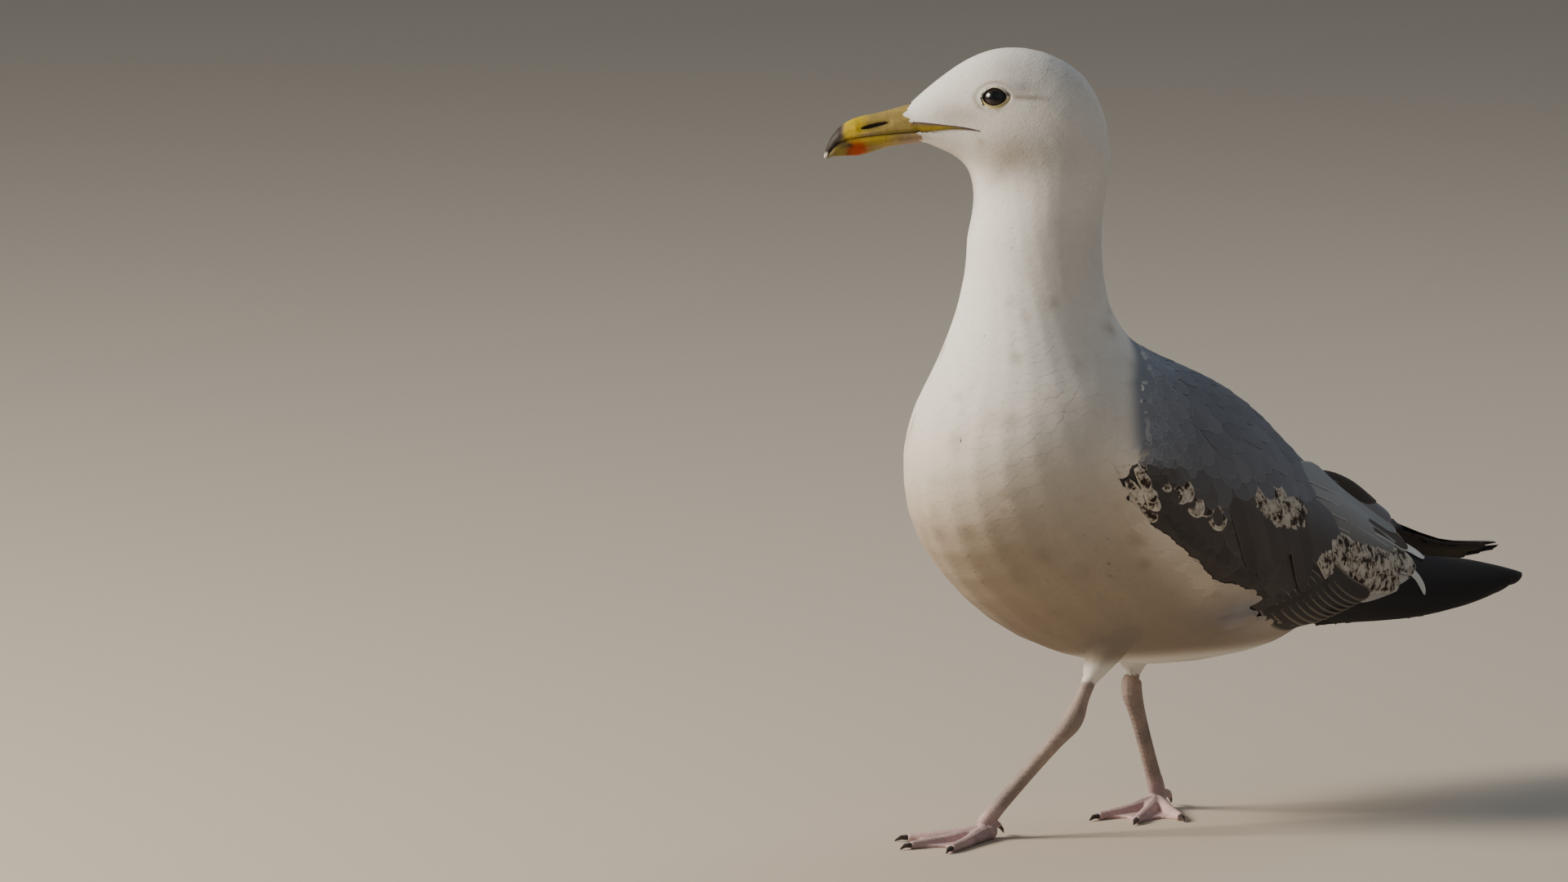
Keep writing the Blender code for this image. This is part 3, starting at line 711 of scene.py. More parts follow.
def eased(co, quads):
    """Ease the step between wings and body, save under the wings' hind half."""
    on_wing = node_gap(co, *WING_BASES, *WING_ENDS) < node_gap(co, *FLESH)
    pairs = edges_of(quads)
    border = (on_wing[pairs[:, 0]] != on_wing[pairs[:, 1]]).astype(float)
    near = np.zeros(len(co))
    np.maximum.at(near, pairs[:, 0], border)
    for _ in range(EASE_REACH):
        near = np.maximum(near, spread(near, pairs, len(co)) > 0.01)
    near = spread(spread(near, pairs, len(co)), pairs, len(co))
    front = 1.0 - smooth(co[:, 1], 40.0, 80.0)
    upper = smooth(above_low_edge(co), 8.0, 20.0) * (co[:, 2] > 140) * (folded(co)[:, 1] < 120)
    near *= np.maximum(front, upper)
    for _ in range(EASE_ROUNDS):
        co = co + (spread(co, pairs, len(co)) - co) * (0.6 * near)[:, None]
    return co


FILL_VOXEL = 3.0
FILL_RADIUS = 12.0         # how far the flesh is grown, and then shrunk
FILL_SHRINK = 12.5
# near side's part of the body in which the gap is filled: two corners
FILL_BOX = ((26.0, -88.0, 106.0), (95.0, 66.0, 250.0))


def gap_fill():
    """Solid that closes the gap between the body and the folded wings' front and lower edges.

    The flank's feathers fill it on the bird.  The flesh is grown and shrunk again, and only
    the part beside the wings' fronts is used.
    """
    co, quads = voxel_shell(FLESH + WING_BASES + WING_ENDS, FILL_VOXEL, 2)
    co = co + vertex_normals(co, split_quads(quads)) * FILL_RADIUS
    co, quads = remeshed(co, quads, FILL_VOXEL, 2)
    co = co - vertex_normals(co, split_quads(quads)) * FILL_SHRINK
    low, high = (np.array(c) for c in FILL_BOX)
    corners = np.array([[x, y, z] for x in (0, 1) for y in (0, 1) for z in (0, 1)], float)
    corners = low + corners * (high - low)
    box = np.array([[0, 1, 3, 2], [4, 6, 7, 5], [0, 4, 5, 1], [2, 3, 7, 6], [0, 2, 6, 4],
                    [1, 5, 7, 3]])
    boxes = (np.concatenate([corners, corners * (-1, 1, 1)]),
             np.concatenate([box, box[:, ::-1] + 8]))
    mesh = combined((co, [quads]), [(boxes[0], [boxes[1]])], 'INTERSECT')
    verts = mesh_points(mesh)
    tris = mesh_triangles(mesh)
    bpy.data.meshes.remove(mesh)
    return verts, tris


VENT_RISE = 5.0            # how far the vent is drawn up
SIDE_INSET = 2.2           # room for the coat at the broadest part, inside the CAD box


def tucked(co):
    """Draw the vent up behind the folded wings, and the broadest sides in under the coat."""
    aside = np.abs(co[:, 0])
    share = band(co[:, 1], 88.0, 112.0, 160.0, 190.0)
    share = share * (1 - smooth(co[:, 2], 96.0, 108.0)) * (1 - smooth(aside, 46.0, 52.0))
    co[:, 2] += VENT_RISE * share
    co[:, 0] -= np.sign(co[:, 0]) * SIDE_INSET * smooth(aside, 60.0, 82.0)
    return co


flank_fill = gap_fill()
shell_co, shell_quads = voxel_shell(FLESH + WING_BASES + WING_ENDS
                                    + ("eye_l", "eye_r", "bill_upper", "bill_lower",
                                       "shin_l", "shin_r"), BODY_VOXEL, 5, flank_fill)
shell_co = tucked(eased(shell_co, shell_quads))
shell = Surface(shell_co, split_quads(shell_quads))
shell.heat, shell.way = flow_field(shell_co, shell_quads)

# stains: place, size in millimetres and strength
SMUDGE_COUNT = 170
SMUDGE_SEED = 7
smudge_rng = np.random.default_rng(SMUDGE_SEED)
below = shell_co[(shell_co[:, 2] < 320.0) & (shell_co[:, 1] < 70.0)]
SMUDGES = np.concatenate([below[smudge_rng.integers(0, len(below), SMUDGE_COUNT)],
                          smudge_rng.uniform((2.0, 0.3), (5.0, 1.1), (SMUDGE_COUNT, 2))], axis=1)


# ------------------------------------------------------------------ contour feathers
def feather_length(points):
    """Length of the small feathers: shortest on the face, longest on the back."""
    f, _, z = head_frame(points)
    face = 3.0 + 1.6 * smooth(62 - f, 0, 34)
    face = np.minimum(face, 2.2 + 2.4 * smooth(eye_clearance(points), 1.4, 3.4))
    out = face + 1.4 * smooth(18 - f, 0, 30)
    out = toward(out, 11.0, smooth(348 - z, 0, 55))
    out = toward(out, 15.0, smooth(275 - z, 0, 55))
    out = toward(out, 6.6, 1.0 - smooth(z, 88, 106))
    behind = behind_front(points)
    over_edge = above_low_edge(points)
    out = toward(out, 8.0, (1 - smooth(-behind, 0.0, 22.0)) * (z < 270))
    out = toward(out, 8.0, blot(over_edge / 12.0) * (points[:, 1] > -62.0) * (z < 205.0))
    wrist = 1.0 - smooth(points[:, 1], -48, 15)
    cloak = toward(9.0, 30.0 - 15.0 * wrist, smooth(behind, 2.0, 40.0))
    cloak = toward(cloak, 15.0, 1.0 - smooth(over_edge, 8.0, 26.0))
    cloak = toward(cloak, 13.0, smooth(mottle_share(points), 0.2, 0.6))
    return toward(out, cloak, grey_share(points) > 0.5)


DRAWS = 4.0                # random points drawn for each one wanted


def scatter(surface, spacing_of, seed, keep):
    """Evenly spread points, no two nearer than the spacing there."""
    rng = np.random.default_rng(seed)
    corner = surface.co[surface.tris]
    area = 0.5 * np.linalg.norm(np.cross(corner[:, 1] - corner[:, 0],
                                         corner[:, 2] - corner[:, 0]), axis=1)
    centre = corner.mean(axis=1)
    weight = area / spacing_of(centre) ** 2
    weight = weight * keep(centre)
    total = int(weight.sum() * DRAWS)
    face = rng.choice(len(area), total, p=weight / weight.sum())
    u = rng.random(total)
    v = rng.random(total)
    fold = u + v > 1
    u[fold] = 1 - u[fold]
    v[fold] = 1 - v[fold]
    bary = np.stack([1 - u - v, u, v], 1)
    place = (corner[face] * bary[:, :, None]).sum(1)
    gap = spacing_of(place)
    tree = KDTree(total)
    for row, point in enumerate(place.tolist()):
        tree.insert(point, row)
    tree.balance()
    free = np.ones(total, bool)
    chosen = []
    for row in range(total):
        if not free[row]:
            continue
        chosen.append(row)
        for _, other, _ in tree.find_range(place[row], gap[row]):
            free[other] = False
    chosen = np.array(chosen)
    return place[chosen], face[chosen], bary[chosen]


OPEN_START = 0.8           # the look outward starts this far off the surface
OPEN_REACH = 12.0          # and nothing may stand within this distance


def in_the_open(surface, picks):
    """Whether nothing of the surface stands close in front of each picked point."""
    place, face, bary = picks
    normal = unit(surface.read(surface.normal, face, bary))
    start = place + normal * OPEN_START
    free = np.empty(len(place), bool)
    for row, (spot, way) in enumerate(zip(start.tolist(), normal.tolist())):
        free[row] = surface.tree.ray_cast(spot, way, OPEN_REACH)[0] is None
    return free


def template(rows, columns):
    """Outline grid of one feather: across from -1 to 1, along from 0 to 1, and faces."""
    t = 1.0 - (1.0 - np.linspace(0.0, 1.0, rows)) ** 1.7        # rows crowd towards the tip
    along, across = np.meshgrid(t, np.linspace(-1.0, 1.0, columns), indexing="ij")
    row = np.arange(rows - 1)[:, None] * columns
    base = (row + np.arange(columns - 1)[None, :]).ravel()
    quads = np.stack([base, base + columns, base + 1 + columns, base + 1], 1)
    return np.stack([across.ravel(), along.ravel()], 1), quads


def width_profile(t):
    """Half width along a body feather, as a share of the widest, with a rounded tip."""
    tip = np.sqrt(np.clip(1.0 - np.clip((t - 0.66) / 0.34, 0.0, 1.0) ** 2.2, 0.008, 1.0))
    return (0.34 + 0.66 * np.sin(math.pi * np.clip(t, 0, 1) ** 0.8 * 0.64)) * tip


WALK_STEPS = 4
WALK_PULL = 0.6            # how strongly each step turns to the lie of the surface


def walk(surface, start, way, length):
    """Follow the lie over the surface: points, normals and directions at each step."""
    place, face, weight = surface.nearest(start)
    normal = unit(surface.read(surface.normal, face, weight))
    course = unit(way - normal * (way * normal).sum(1, keepdims=True))
    points = [place]
    normals = [normal]
    courses = [course]
    for _ in range(WALK_STEPS):
        ahead = place + course * (length / WALK_STEPS)[:, None]
        place, face, weight = surface.nearest(ahead)
        normal = unit(surface.read(surface.normal, face, weight))
        flow = surface.read(surface.way, face, weight)
        course = unit(course * (1 - WALK_PULL) + flow * WALK_PULL)
        course = unit(course - normal * (course * normal).sum(1, keepdims=True))
        points.append(place)
        normals.append(normal)
        courses.append(course)
    return np.stack(points, 1), np.stack(normals, 1), np.stack(courses, 1)


def along_path(path, at):
    """Read a stepped path (feathers, steps, 3) at shares `at` of its length."""
    steps = path.shape[1] - 1
    place = np.clip(at, 0.0, 1.3) * steps
    left = np.minimum(place.astype(int), steps - 1)
    part = place - left
    return path[:, left] * (1 - part)[None, :, None] + path[:, left + 1] * part[None, :, None]


def many(count, size, faces):
    """Repeat one feather's faces for every feather."""
    return (faces[None] + (np.arange(count) * size)[:, None, None]).reshape(-1, faces.shape[1])


# height of the body's middle at shares of the way from the bill to the tail
MIDDLE_HEIGHT = ((0.0, 362.0), (0.3, 300.0), (0.6, 160.0), (1.0, 112.0))


def unroll(points, heat):
    """Place on a cylinder-like unwrap of the skin: round the body and along it."""
    middle = np.interp(heat, *np.array(MIDDLE_HEIGHT).T)
    turn = np.arctan2(points[:, 0], points[:, 2] - middle)
    return np.stack([turn / (2 * math.pi) + 0.5, heat], 1)


def beside_edge(place, path, dark):
    """By the wing's lower edge: which feathers would cross it, and how far others rise over it."""
    ends = np.stack([above_low_edge(path[:, step]) for step in (2, 3, 4)])
    outer = (np.abs(path[:, 4, 0]) > 20.0) & (place[:, 1] > -62.0)
    if dark:
        return outer & (ends.min(axis=0) < 1.5), np.zeros(len(place))
    top = ends.max(axis=0)
    crosses = (above_low_edge(place) < 2.0) & (top > 3.5)
    crosses |= (place[:, 2] < 206.0) & (grey_share(path[:, 3]) > 0.8)
    return outer & crosses, 0.35 * smooth(top, -6.0, 0.0) * (top < 4.0) * outer


def feathered(name, verts, faces, data, normals=None, replaced=()):
    """Piece with the plumage's look; `data` is what its material reads, at each vertex."""
    mesh = mesh_from(name, verts, [faces])
    add_bake_map(mesh, data["uv"])
    add_attributes(mesh, {key: data[key] for key in ("tint", "fringe")}, {"lie": data["lie"]},
                   {key: data[key] for key in ("mottle", "rim", "edged")})
    if normals is not None:
        mesh.normals_split_custom_set_from_vertices(normals.astype(np.float32))
    piece(mesh, plumage_material, replaced)


PALER_EDGE = np.array([1.5, 1.5, 1.45])


def coat(name, surface, picks, form, rng, spec, dark):
    """One piece of coat: a joined mesh of all the feathers rooted at the picked points."""
    place, face, bary = picks
    length = feather_length(place) * rng.uniform(0.88, 1.14, len(place))
    way = surface.read(surface.way, face, bary)
    normal = unit(surface.read(surface.normal, face, bary))
    side = np.cross(normal, way)
    way = unit(way + side * rng.normal(0.0, spec["stray"], len(place))[:, None])
    lifted = rng.uniform(0.8, 1.2, len(place))
    shade = rng.normal(1.0, spec["tone"], len(place))
    patchy = rng.uniform(0.30, 0.62, len(place))
    seed = rng.random(len(place)) * 50.0
    path, ups, runs = walk(surface, place, way, length)
    crosses, over = beside_edge(place, path, dark)
    good = ~crosses
    place, face, bary, length, way, lifted, shade, patchy, seed, path, ups, runs, over = (
        values[good] for values in (place, face, bary, length, way, lifted, shade, patchy, seed,
                                    path, ups, runs, over))
    count = len(place)

    points, quads = form
    across = points[:, 0]
    along = points[:, 1]
    spot = along_path(path, along)
    up = unit(along_path(ups, along))
    run = unit(along_path(runs, along))
    sidewise = np.cross(up, run)
    width = length * spec["wide"]
    half = width_profile(along)[None, :] * across[None, :] * width[:, None] / 2
    sunk = spec["depth"] * length
    high = -sunk[:, None] * (1.0 - np.clip(along, 0, 1)[None, :])
    rise = spec["lift"] * length * lifted
    high = high + rise[:, None] * np.clip(along, 0, 1.2)[None, :] ** 3
    high = high - (spec["cup"] * width)[:, None] * (across ** 2)[None, :]
    high = high + over[:, None] * np.clip(along, 0, 1)[None, :]
    verts = spot + sidewise * half[..., None]
    flat, near, weight = surface.nearest(verts.reshape(-1, 3))
    up = unit(surface.read(surface.normal, near, weight)).reshape(verts.shape)
    verts = flat.reshape(verts.shape)
    verts = verts + up * high[..., None]
    bent = unit(up + sidewise * (across[None, :, None] * spec["curl"]) + run * 0.04)
    size = len(across)
    if dark:
        tint = np.repeat(markings(place, np.ones(count)), size, axis=0)
    else:
        tint = markings(verts.reshape(-1, 3), np.zeros(count * size))
    tint = np.clip(tint * np.repeat(shade, size)[:, None], 0, 1)
    rim = (1.0 - np.abs(across)[None, :]) * np.abs(width[:, None]) * 0.5
    tip = (1.0 - np.clip(along, 0, 1))[None, :] * length[:, None]
    rim = np.minimum(rim, tip)
    lie = np.stack([half, along[None, :] * length[:, None],
                    np.broadcast_to(seed[:, None], half.shape)], -1)
    heat = surface.read(surface.heat[:, None], face, bary)[:, 0]
    root = unroll(place, heat)
    patch = np.stack([across * 0.0015, (along - 0.5) * 0.003], 1)
    uv = (root[:, None, :] + patch[None]).reshape(-1, 2) * 0.994 + 0.003
    middle = place + way * (length * 0.5)[:, None]
    mottled = (mottle_share(middle) * dark > patchy) * 1.0
    edged = dark * (0.25 + 0.3 * smooth(above_low_edge(place), 10.0, 40.0))
    data = {"tint": tint, "fringe": np.clip(tint * PALER_EDGE, 0, 1), "lie": lie.reshape(-1, 3),
            "mottle": np.repeat(mottled, size), "rim": rim.ravel(),
            "edged": np.repeat(edged, size), "uv": uv}
    feathered(name, verts.reshape(-1, 3), many(count, size, quads), data,
              bent.reshape(-1, 3))


# ------------------------------------------------------------------ materials
class Nodes:
    """Short-hand for building one material's node tree."""

    def __init__(self, name, roughness, **sockets):
        self.material = bpy.data.materials.new(name)
        self.material.use_nodes = True
        self.tree = self.material.node_tree
        self.shader = self.tree.nodes["Principled BSDF"]
        self.shader.inputs["Roughness"].default_value = roughness
        for socket, value in sockets.items():
            self.shader.inputs[socket.replace("_", " ")].default_value = value

    def add(self, kind, **settings):
        node = self.tree.nodes.new(kind)
        for key, value in settings.items():
            setattr(node, key, value)
        return node

    def link(self, source, target):
        self.tree.links.new(source, target)

    def value(self, socket, source):
        """Link a source, or set a number, on a socket."""
        if isinstance(source, bpy.types.NodeSocket):
            self.link(source, socket)
        else:
            socket.default_value = source

    def attribute(self, name, output="Fac"):
        return self.add("ShaderNodeAttribute", attribute_name=name).outputs[output]

    def spot(self):
        """Place on the object."""
        return self.add("ShaderNodeTexCoord").outputs["Object"]

    def math(self, operation, *sources):
        node = self.add("ShaderNodeMath", operation=operation)
        for socket, source in zip(node.inputs, sources):
            self.value(socket, source)
        return node.outputs[0]

    def mix(self, share, first, second, blend='MIX'):
        node = self.add("ShaderNodeMix", data_type='RGBA', blend_type=blend)
        self.value(node.inputs[0], share)
        for socket, source in zip((node.inputs[6], node.inputs[7]), (first, second)):
            self.value(socket, source if isinstance(source, bpy.types.NodeSocket)
                       else (*source, 1.0))
        return node.outputs[2]

    def times(self, first, second):
        return self.mix(1.0, first, second, 'MULTIPLY')

    def noise(self, vector, scale, detail=2.0, roughness=0.5):
        node = self.add("ShaderNodeTexNoise")
        self.value(node.inputs["Scale"], scale)
        node.inputs["Detail"].default_value = detail
        node.inputs["Roughness"].default_value = roughness
        self.value(node.inputs["Vector"], vector)
        return node.outputs["Fac"]

    def combine(self, x, y, z):
        node = self.add("ShaderNodeCombineXYZ")
        for socket, source in zip(node.inputs, (x, y, z)):
            self.value(socket, source)
        return node.outputs[0]

    def split(self, vector):
        node = self.add("ShaderNodeSeparateXYZ")
        self.link(vector, node.inputs[0])
        return node.outputs

    def ramp(self, source, *stops):
        node = self.add("ShaderNodeValToRGB")
        self.value(node.inputs[0], source)
        marks = node.color_ramp.elements
        while len(marks) < len(stops):
            marks.new(0.5)
        for mark, (place, colour) in zip(marks, stops):
            mark.position = place
            tone = colour if isinstance(colour, tuple) else (colour,) * 3
            mark.color = (*tone, 1.0)
        return node.outputs[0]

    def step(self, source, low, high):
        node = self.add("ShaderNodeMapRange", interpolation_type='SMOOTHSTEP')
        self.value(node.inputs[0], source)
        node.inputs[1].default_value = low
        node.inputs[2].default_value = high
        return node.outputs[0]

    def bump(self, height, strength, distance):
        node = self.add("ShaderNodeBump")
        node.inputs["Strength"].default_value = strength
        node.inputs["Distance"].default_value = distance
        self.link(height, node.inputs["Height"])
        self.link(node.outputs[0], self.shader.inputs["Normal"])

    def colour(self, source):
        self.link(source, self.shader.inputs["Base Color"])
        return self.material


def barbs(n):
    """Fine lines that run out and forward from each feather's shaft."""
    x, y, seed = n.split(n.attribute("lie", "Vector"))
    aside = n.math('ABSOLUTE', x)
    slant = n.math('MULTIPLY_ADD', aside, -1.1, y)
    place = n.combine(n.math('MULTIPLY', slant, 2.6), n.math('MULTIPLY', aside, 0.22), seed)
    return n.noise(place, 1.0, 2.0, 0.6)


def mottling(n, colour):
    """Dark saw-toothed blots and pale edges on the barred coverts."""
    spot = n.spot()
    blots = n.noise(spot, 190.0, 2.0, 0.62)
    fine = n.noise(spot, 620.0, 2.0, 0.6)
    both = n.math('MULTIPLY_ADD', fine, 0.36, n.math('MULTIPLY', blots, 0.66))
    rim = n.step(n.attribute("rim"), 0.2, 1.6)
    both = n.math('MULTIPLY_ADD', rim, -0.09, n.math('ADD', both, 0.06))
    pattern = n.ramp(both, (0.39, (0.030, 0.022, 0.018)), (0.44, (0.080, 0.058, 0.044)),
                     (0.48, (0.36, 0.31, 0.25)), (0.60, (0.60, 0.55, 0.48)))
    patchy = n.math('MULTIPLY_ADD', blots, 0.9, n.attribute("mottle"))
    return n.mix(n.step(patchy, 0.88, 0.98), colour, pattern)


def plumage():
    """Feathers: barbs, pale edges and mottling over the tint that each one carries."""
    n = Nodes("plumage", 0.85, Sheen_Weight=0.05, Sheen_Roughness=0.6, Specular_IOR_Level=0.12)
    lines = barbs(n)
    tone = n.ramp(lines, (0.30, 0.90), (0.70, 1.0))
    tint = n.attribute("tint", "Color")
    inner = n.step(n.attribute("rim"), 0.25, 0.9)
    edge = n.math('MULTIPLY', n.math('SUBTRACT', 1.0, inner), n.attribute("edged"))
    tint = n.mix(edge, tint, n.attribute("fringe", "Color"))
    tint = n.times(tint, tone)
    tint = mottling(n, tint)
    n.bump(lines, 0.15, 0.0002)
    return n.colour(tint)


plumage_material = plumage()


# ------------------------------------------------------------------ coat
# feathers of each class: width, depth of the root and lift of the end as shares of the length,
# cupping as a share of the width, bend of the shading across, and the spread of lie and tone
FACE = {"wide": 0.72, "depth": 0.022, "lift": 0.004, "cup": 0.003, "curl": 0.02,
        "stray": 0.12, "tone": 0.015}
BODY = {"wide": 0.84, "depth": 0.012, "lift": 0.002, "cup": 0.002, "curl": 0.01,
        "stray": 0.07, "tone": 0.010}
CLOAK = {"wide": 0.50, "depth": 0.024, "lift": 0.004, "cup": 0.006, "curl": 0.04,
         "stray": 0.03, "tone": 0.05}
# each class's slot, rows and columns of a feather's grid, numbers, and whether it is dark
CLASSES = (("face", "white_plumage", 4, 4, FACE, False),
           ("body", "white_plumage", 6, 5, BODY, False),
           ("cloak", "grey_plumage", 8, 7, CLOAK, True))
COAT_SEED = 11
ROOTS_SEED = 5
SMALL = 6.5                # feathers shorter than this are of the face's class
SPACING = 0.25             # distance between roots, as a share of the length
GREY_SPACING = -0.02       # what grey and mottled feathers add to it
MOTTLED_SPACING = 0.08
LID_BARE = 1.42            # place across the lids inside which nothing grows
BARE_LEG = 79.0            # height below which the legs are bare
RAGGED = 2.6               # how far the grey's front edge strays, feather by feather
PIECE_TRIANGLES = 180000

# where the feathers end on the bill: height, limit ahead
FEATHER_LINE = ((340.0, 62.0), (350.0, 64.0), (357.3, 63.0), (361.4, 62.5), (362.6, 32.0),
                (365.2, 32.0), (366.4, 50.0), (367.0, 59.3), (367.4, 72.0), (371.0, 69.0),
                (375.6, 64.1), (384.0, 61.0))


def spacing(points):
    """Distance between the roots of neighbouring feathers."""
    grey = grey_share(points) > 0.5
    share = SPACING + GREY_SPACING * grey + MOTTLED_SPACING * mottle_share(points) * grey
    return feather_length(points) * share


def covered(points):
    """Where feathers grow: not on the wings' long vanes, the eyes or the bill."""
    spot = folded(points)
    rear = 1.0 - smooth(spot[:, 1], 118.0, 128.0) * (np.abs(points[:, 0]) > 20.0)
    patch = mottle_share(points) > 0.45
    ahead_of_tail = spot[:, 1] < 200.0
    f, l, z = head_frame(points)
    line = np.array(FEATHER_LINE)
    bare = (f > np.interp(z, line[:, 0], line[:, 1])) & (z > 335.0) & (np.abs(l) > 2.0)
    bare |= (f > 64.0) & (z > 335.0) & (np.abs(l) <= 2.0)
    share = np.where(patch & (spot[:, 1] < 186), 1.0, rear) * ahead_of_tail * (z > BARE_LEG)
    return share * (eye_clearance(points) > LID_BARE) * ~bare


rng = np.random.default_rng(COAT_SEED)
spots = scatter(shell, spacing, ROOTS_SEED, covered)
open_air = in_the_open(shell, spots)
kept = (open_air & (covered(spots[0]) > 0.5)).nonzero()[0]
spots = tuple(part[kept] for part in spots)
ragged = spots[0].copy()
ragged[:, 1] += rng.normal(0.0, RAGGED, len(ragged)) * (above_low_edge(ragged) > 12.0)
is_dark = grey_share(ragged) > 0.5
is_small = feather_length(spots[0]) < SMALL
groups = {"face": is_small & ~is_dark, "body": ~is_small & ~is_dark, "cloak": is_dark}
for group, slot, rows, columns, spec, dark in CLASSES:
    pick = groups[group].nonzero()[0]
    form = template(rows, columns)
    each = len(form[1]) * 2
    heat = shell.read(shell.heat[:, None], spots[1][pick], spots[2][pick])[:, 0]
    parts = int(math.ceil(len(pick) * each / PIECE_TRIANGLES))
    for part, some in enumerate(np.array_split(pick[np.argsort(heat)], parts)):
        coat("coat_%s_%d" % (group, part), shell, tuple(v[some] for v in spots), form, rng,
             spec, dark)


# ------------------------------------------------------------------ long vanes of the wings
VANE_ROWS = 16
VANE_COLUMNS = np.array([-1.0, -0.86, -0.46, -0.08, 0.0, 0.08, 0.46, 0.86, 1.0])
VANE_THICK = 0.30
SHAFT_RISE = 0.20
LAYER = 0.30               # height of one layer of vanes over the next
CAST_BACK = 200.0
CAST_REACH = 400.0
WING_VOXEL = 1.4
WING_SEED = 23
CORE_INSET = 0.6


def wing_surface(side):
    """What one wing's vanes are laid on."""
    names = ["wing_%s_%s" % (side, part) for part in ("coverts", "tertials", "primaries")]
    co, quads = voxel_shell(names, WING_VOXEL, 6)
    return Surface(co, split_quads(quads))


wings = {sign: wing_surface(side) for sign, side in SIDES}


def on_far_wing(path):
    """Move (y, z) places from the near wing to the same places on the far one."""
    y = path[..., 0] + np.maximum(path[..., 0] - FAR_STRETCH_FROM, 0.0) * FAR_STRETCH
    rise = FAR_LIFT * smooth(y, FAR_LIFT_FROM, FAR_LIFT_TO)
    return np.stack([y, path[..., 1] + rise], -1)


def averaged(grid):
    """Mean of each grid point and its neighbours along both ways."""
    for axis in (0, 1):
        padded = np.concatenate([grid.take([0], axis), grid, grid.take([-1], axis)], axis)
        count = grid.shape[axis]
        grid = (padded.take(range(count), axis) + 2 * grid
                + padded.take(range(2, count + 2), axis)) / 4
    return grid


def drape(surface, grid, way, inner):
    """Slide a grid of points along `way` on to a surface: places and normals.

    The way starts far outside, or at the points themselves when `inner` is set.
    """
    flat = grid.reshape(-1, 3)
    spots = flat.copy()
    course = np.array(way)
    lift = Vector(way) * (0.0 if inner else -CAST_BACK)
    known = np.zeros(len(flat), bool)
    for row, point in enumerate(flat.tolist()):
        hit = surface.tree.ray_cast(Vector(point) + lift, Vector(way), CAST_REACH)
        if hit[0] is not None:
            spots[row] = hit[0]
            known[row] = True
    good = known.nonzero()[0]
    deep = spots @ course
    for row in (~known).nonzero()[0]:
        # past the wing's outline: the feather bends round its edge
        nearest = good[np.argmin(((flat[good] - flat[row]) ** 2).sum(1))]
        guess = flat[row] + course * (deep[nearest] - flat[row] @ course)
        spots[row] = surface.tree.find_nearest(guess.tolist())[0]
    _, face, weight = surface.nearest(spots)
    normal = unit(surface.read(surface.normal, face, weight))
    turned = (normal @ -course)[:, None] < 0.15
    normal = unit(np.where(turned, normal - course, normal))
    spots = averaged(averaged(spots.reshape(grid.shape)))
    normal = unit(averaged(averaged(normal.reshape(grid.shape))))
    return spots, normal


def slab_faces(top, normal):
    """Faces of a thin slab: the grid on top, the same grid below it and the wall between."""
    rows, columns = top.shape[:2]
    size = rows * columns
    index = np.arange(size).reshape(rows, columns)
    a, b = index[:-1, :-1].ravel(), index[:-1, 1:].ravel()
    c, d = index[1:, 1:].ravel(), index[1:, :-1].ravel()
    upper = np.stack([a, b, c, d], 1)
    co = top.reshape(-1, 3)
    facing = np.cross(co[b] - co[a], co[d] - co[a])
    if (facing * normal[:-1, :-1].reshape(-1, 3)).sum() < 0:
        upper = upper[:, ::-1]
    ring = np.concatenate([index[0, :-1], index[:-1, -1], index[-1, :0:-1], index[:0:-1, 0]])
    after = np.roll(ring, -1)
    wall = np.stack([ring, after, after + size, ring + size], 1)
    edges = np.stack([upper, np.roll(upper, -1, axis=1)], -1).reshape(-1, 2)
    if (edges == (ring[0], after[0])).all(axis=1).any():
        wall = wall[:, ::-1]
    return np.concatenate([upper, upper[:, ::-1] + size, wall])


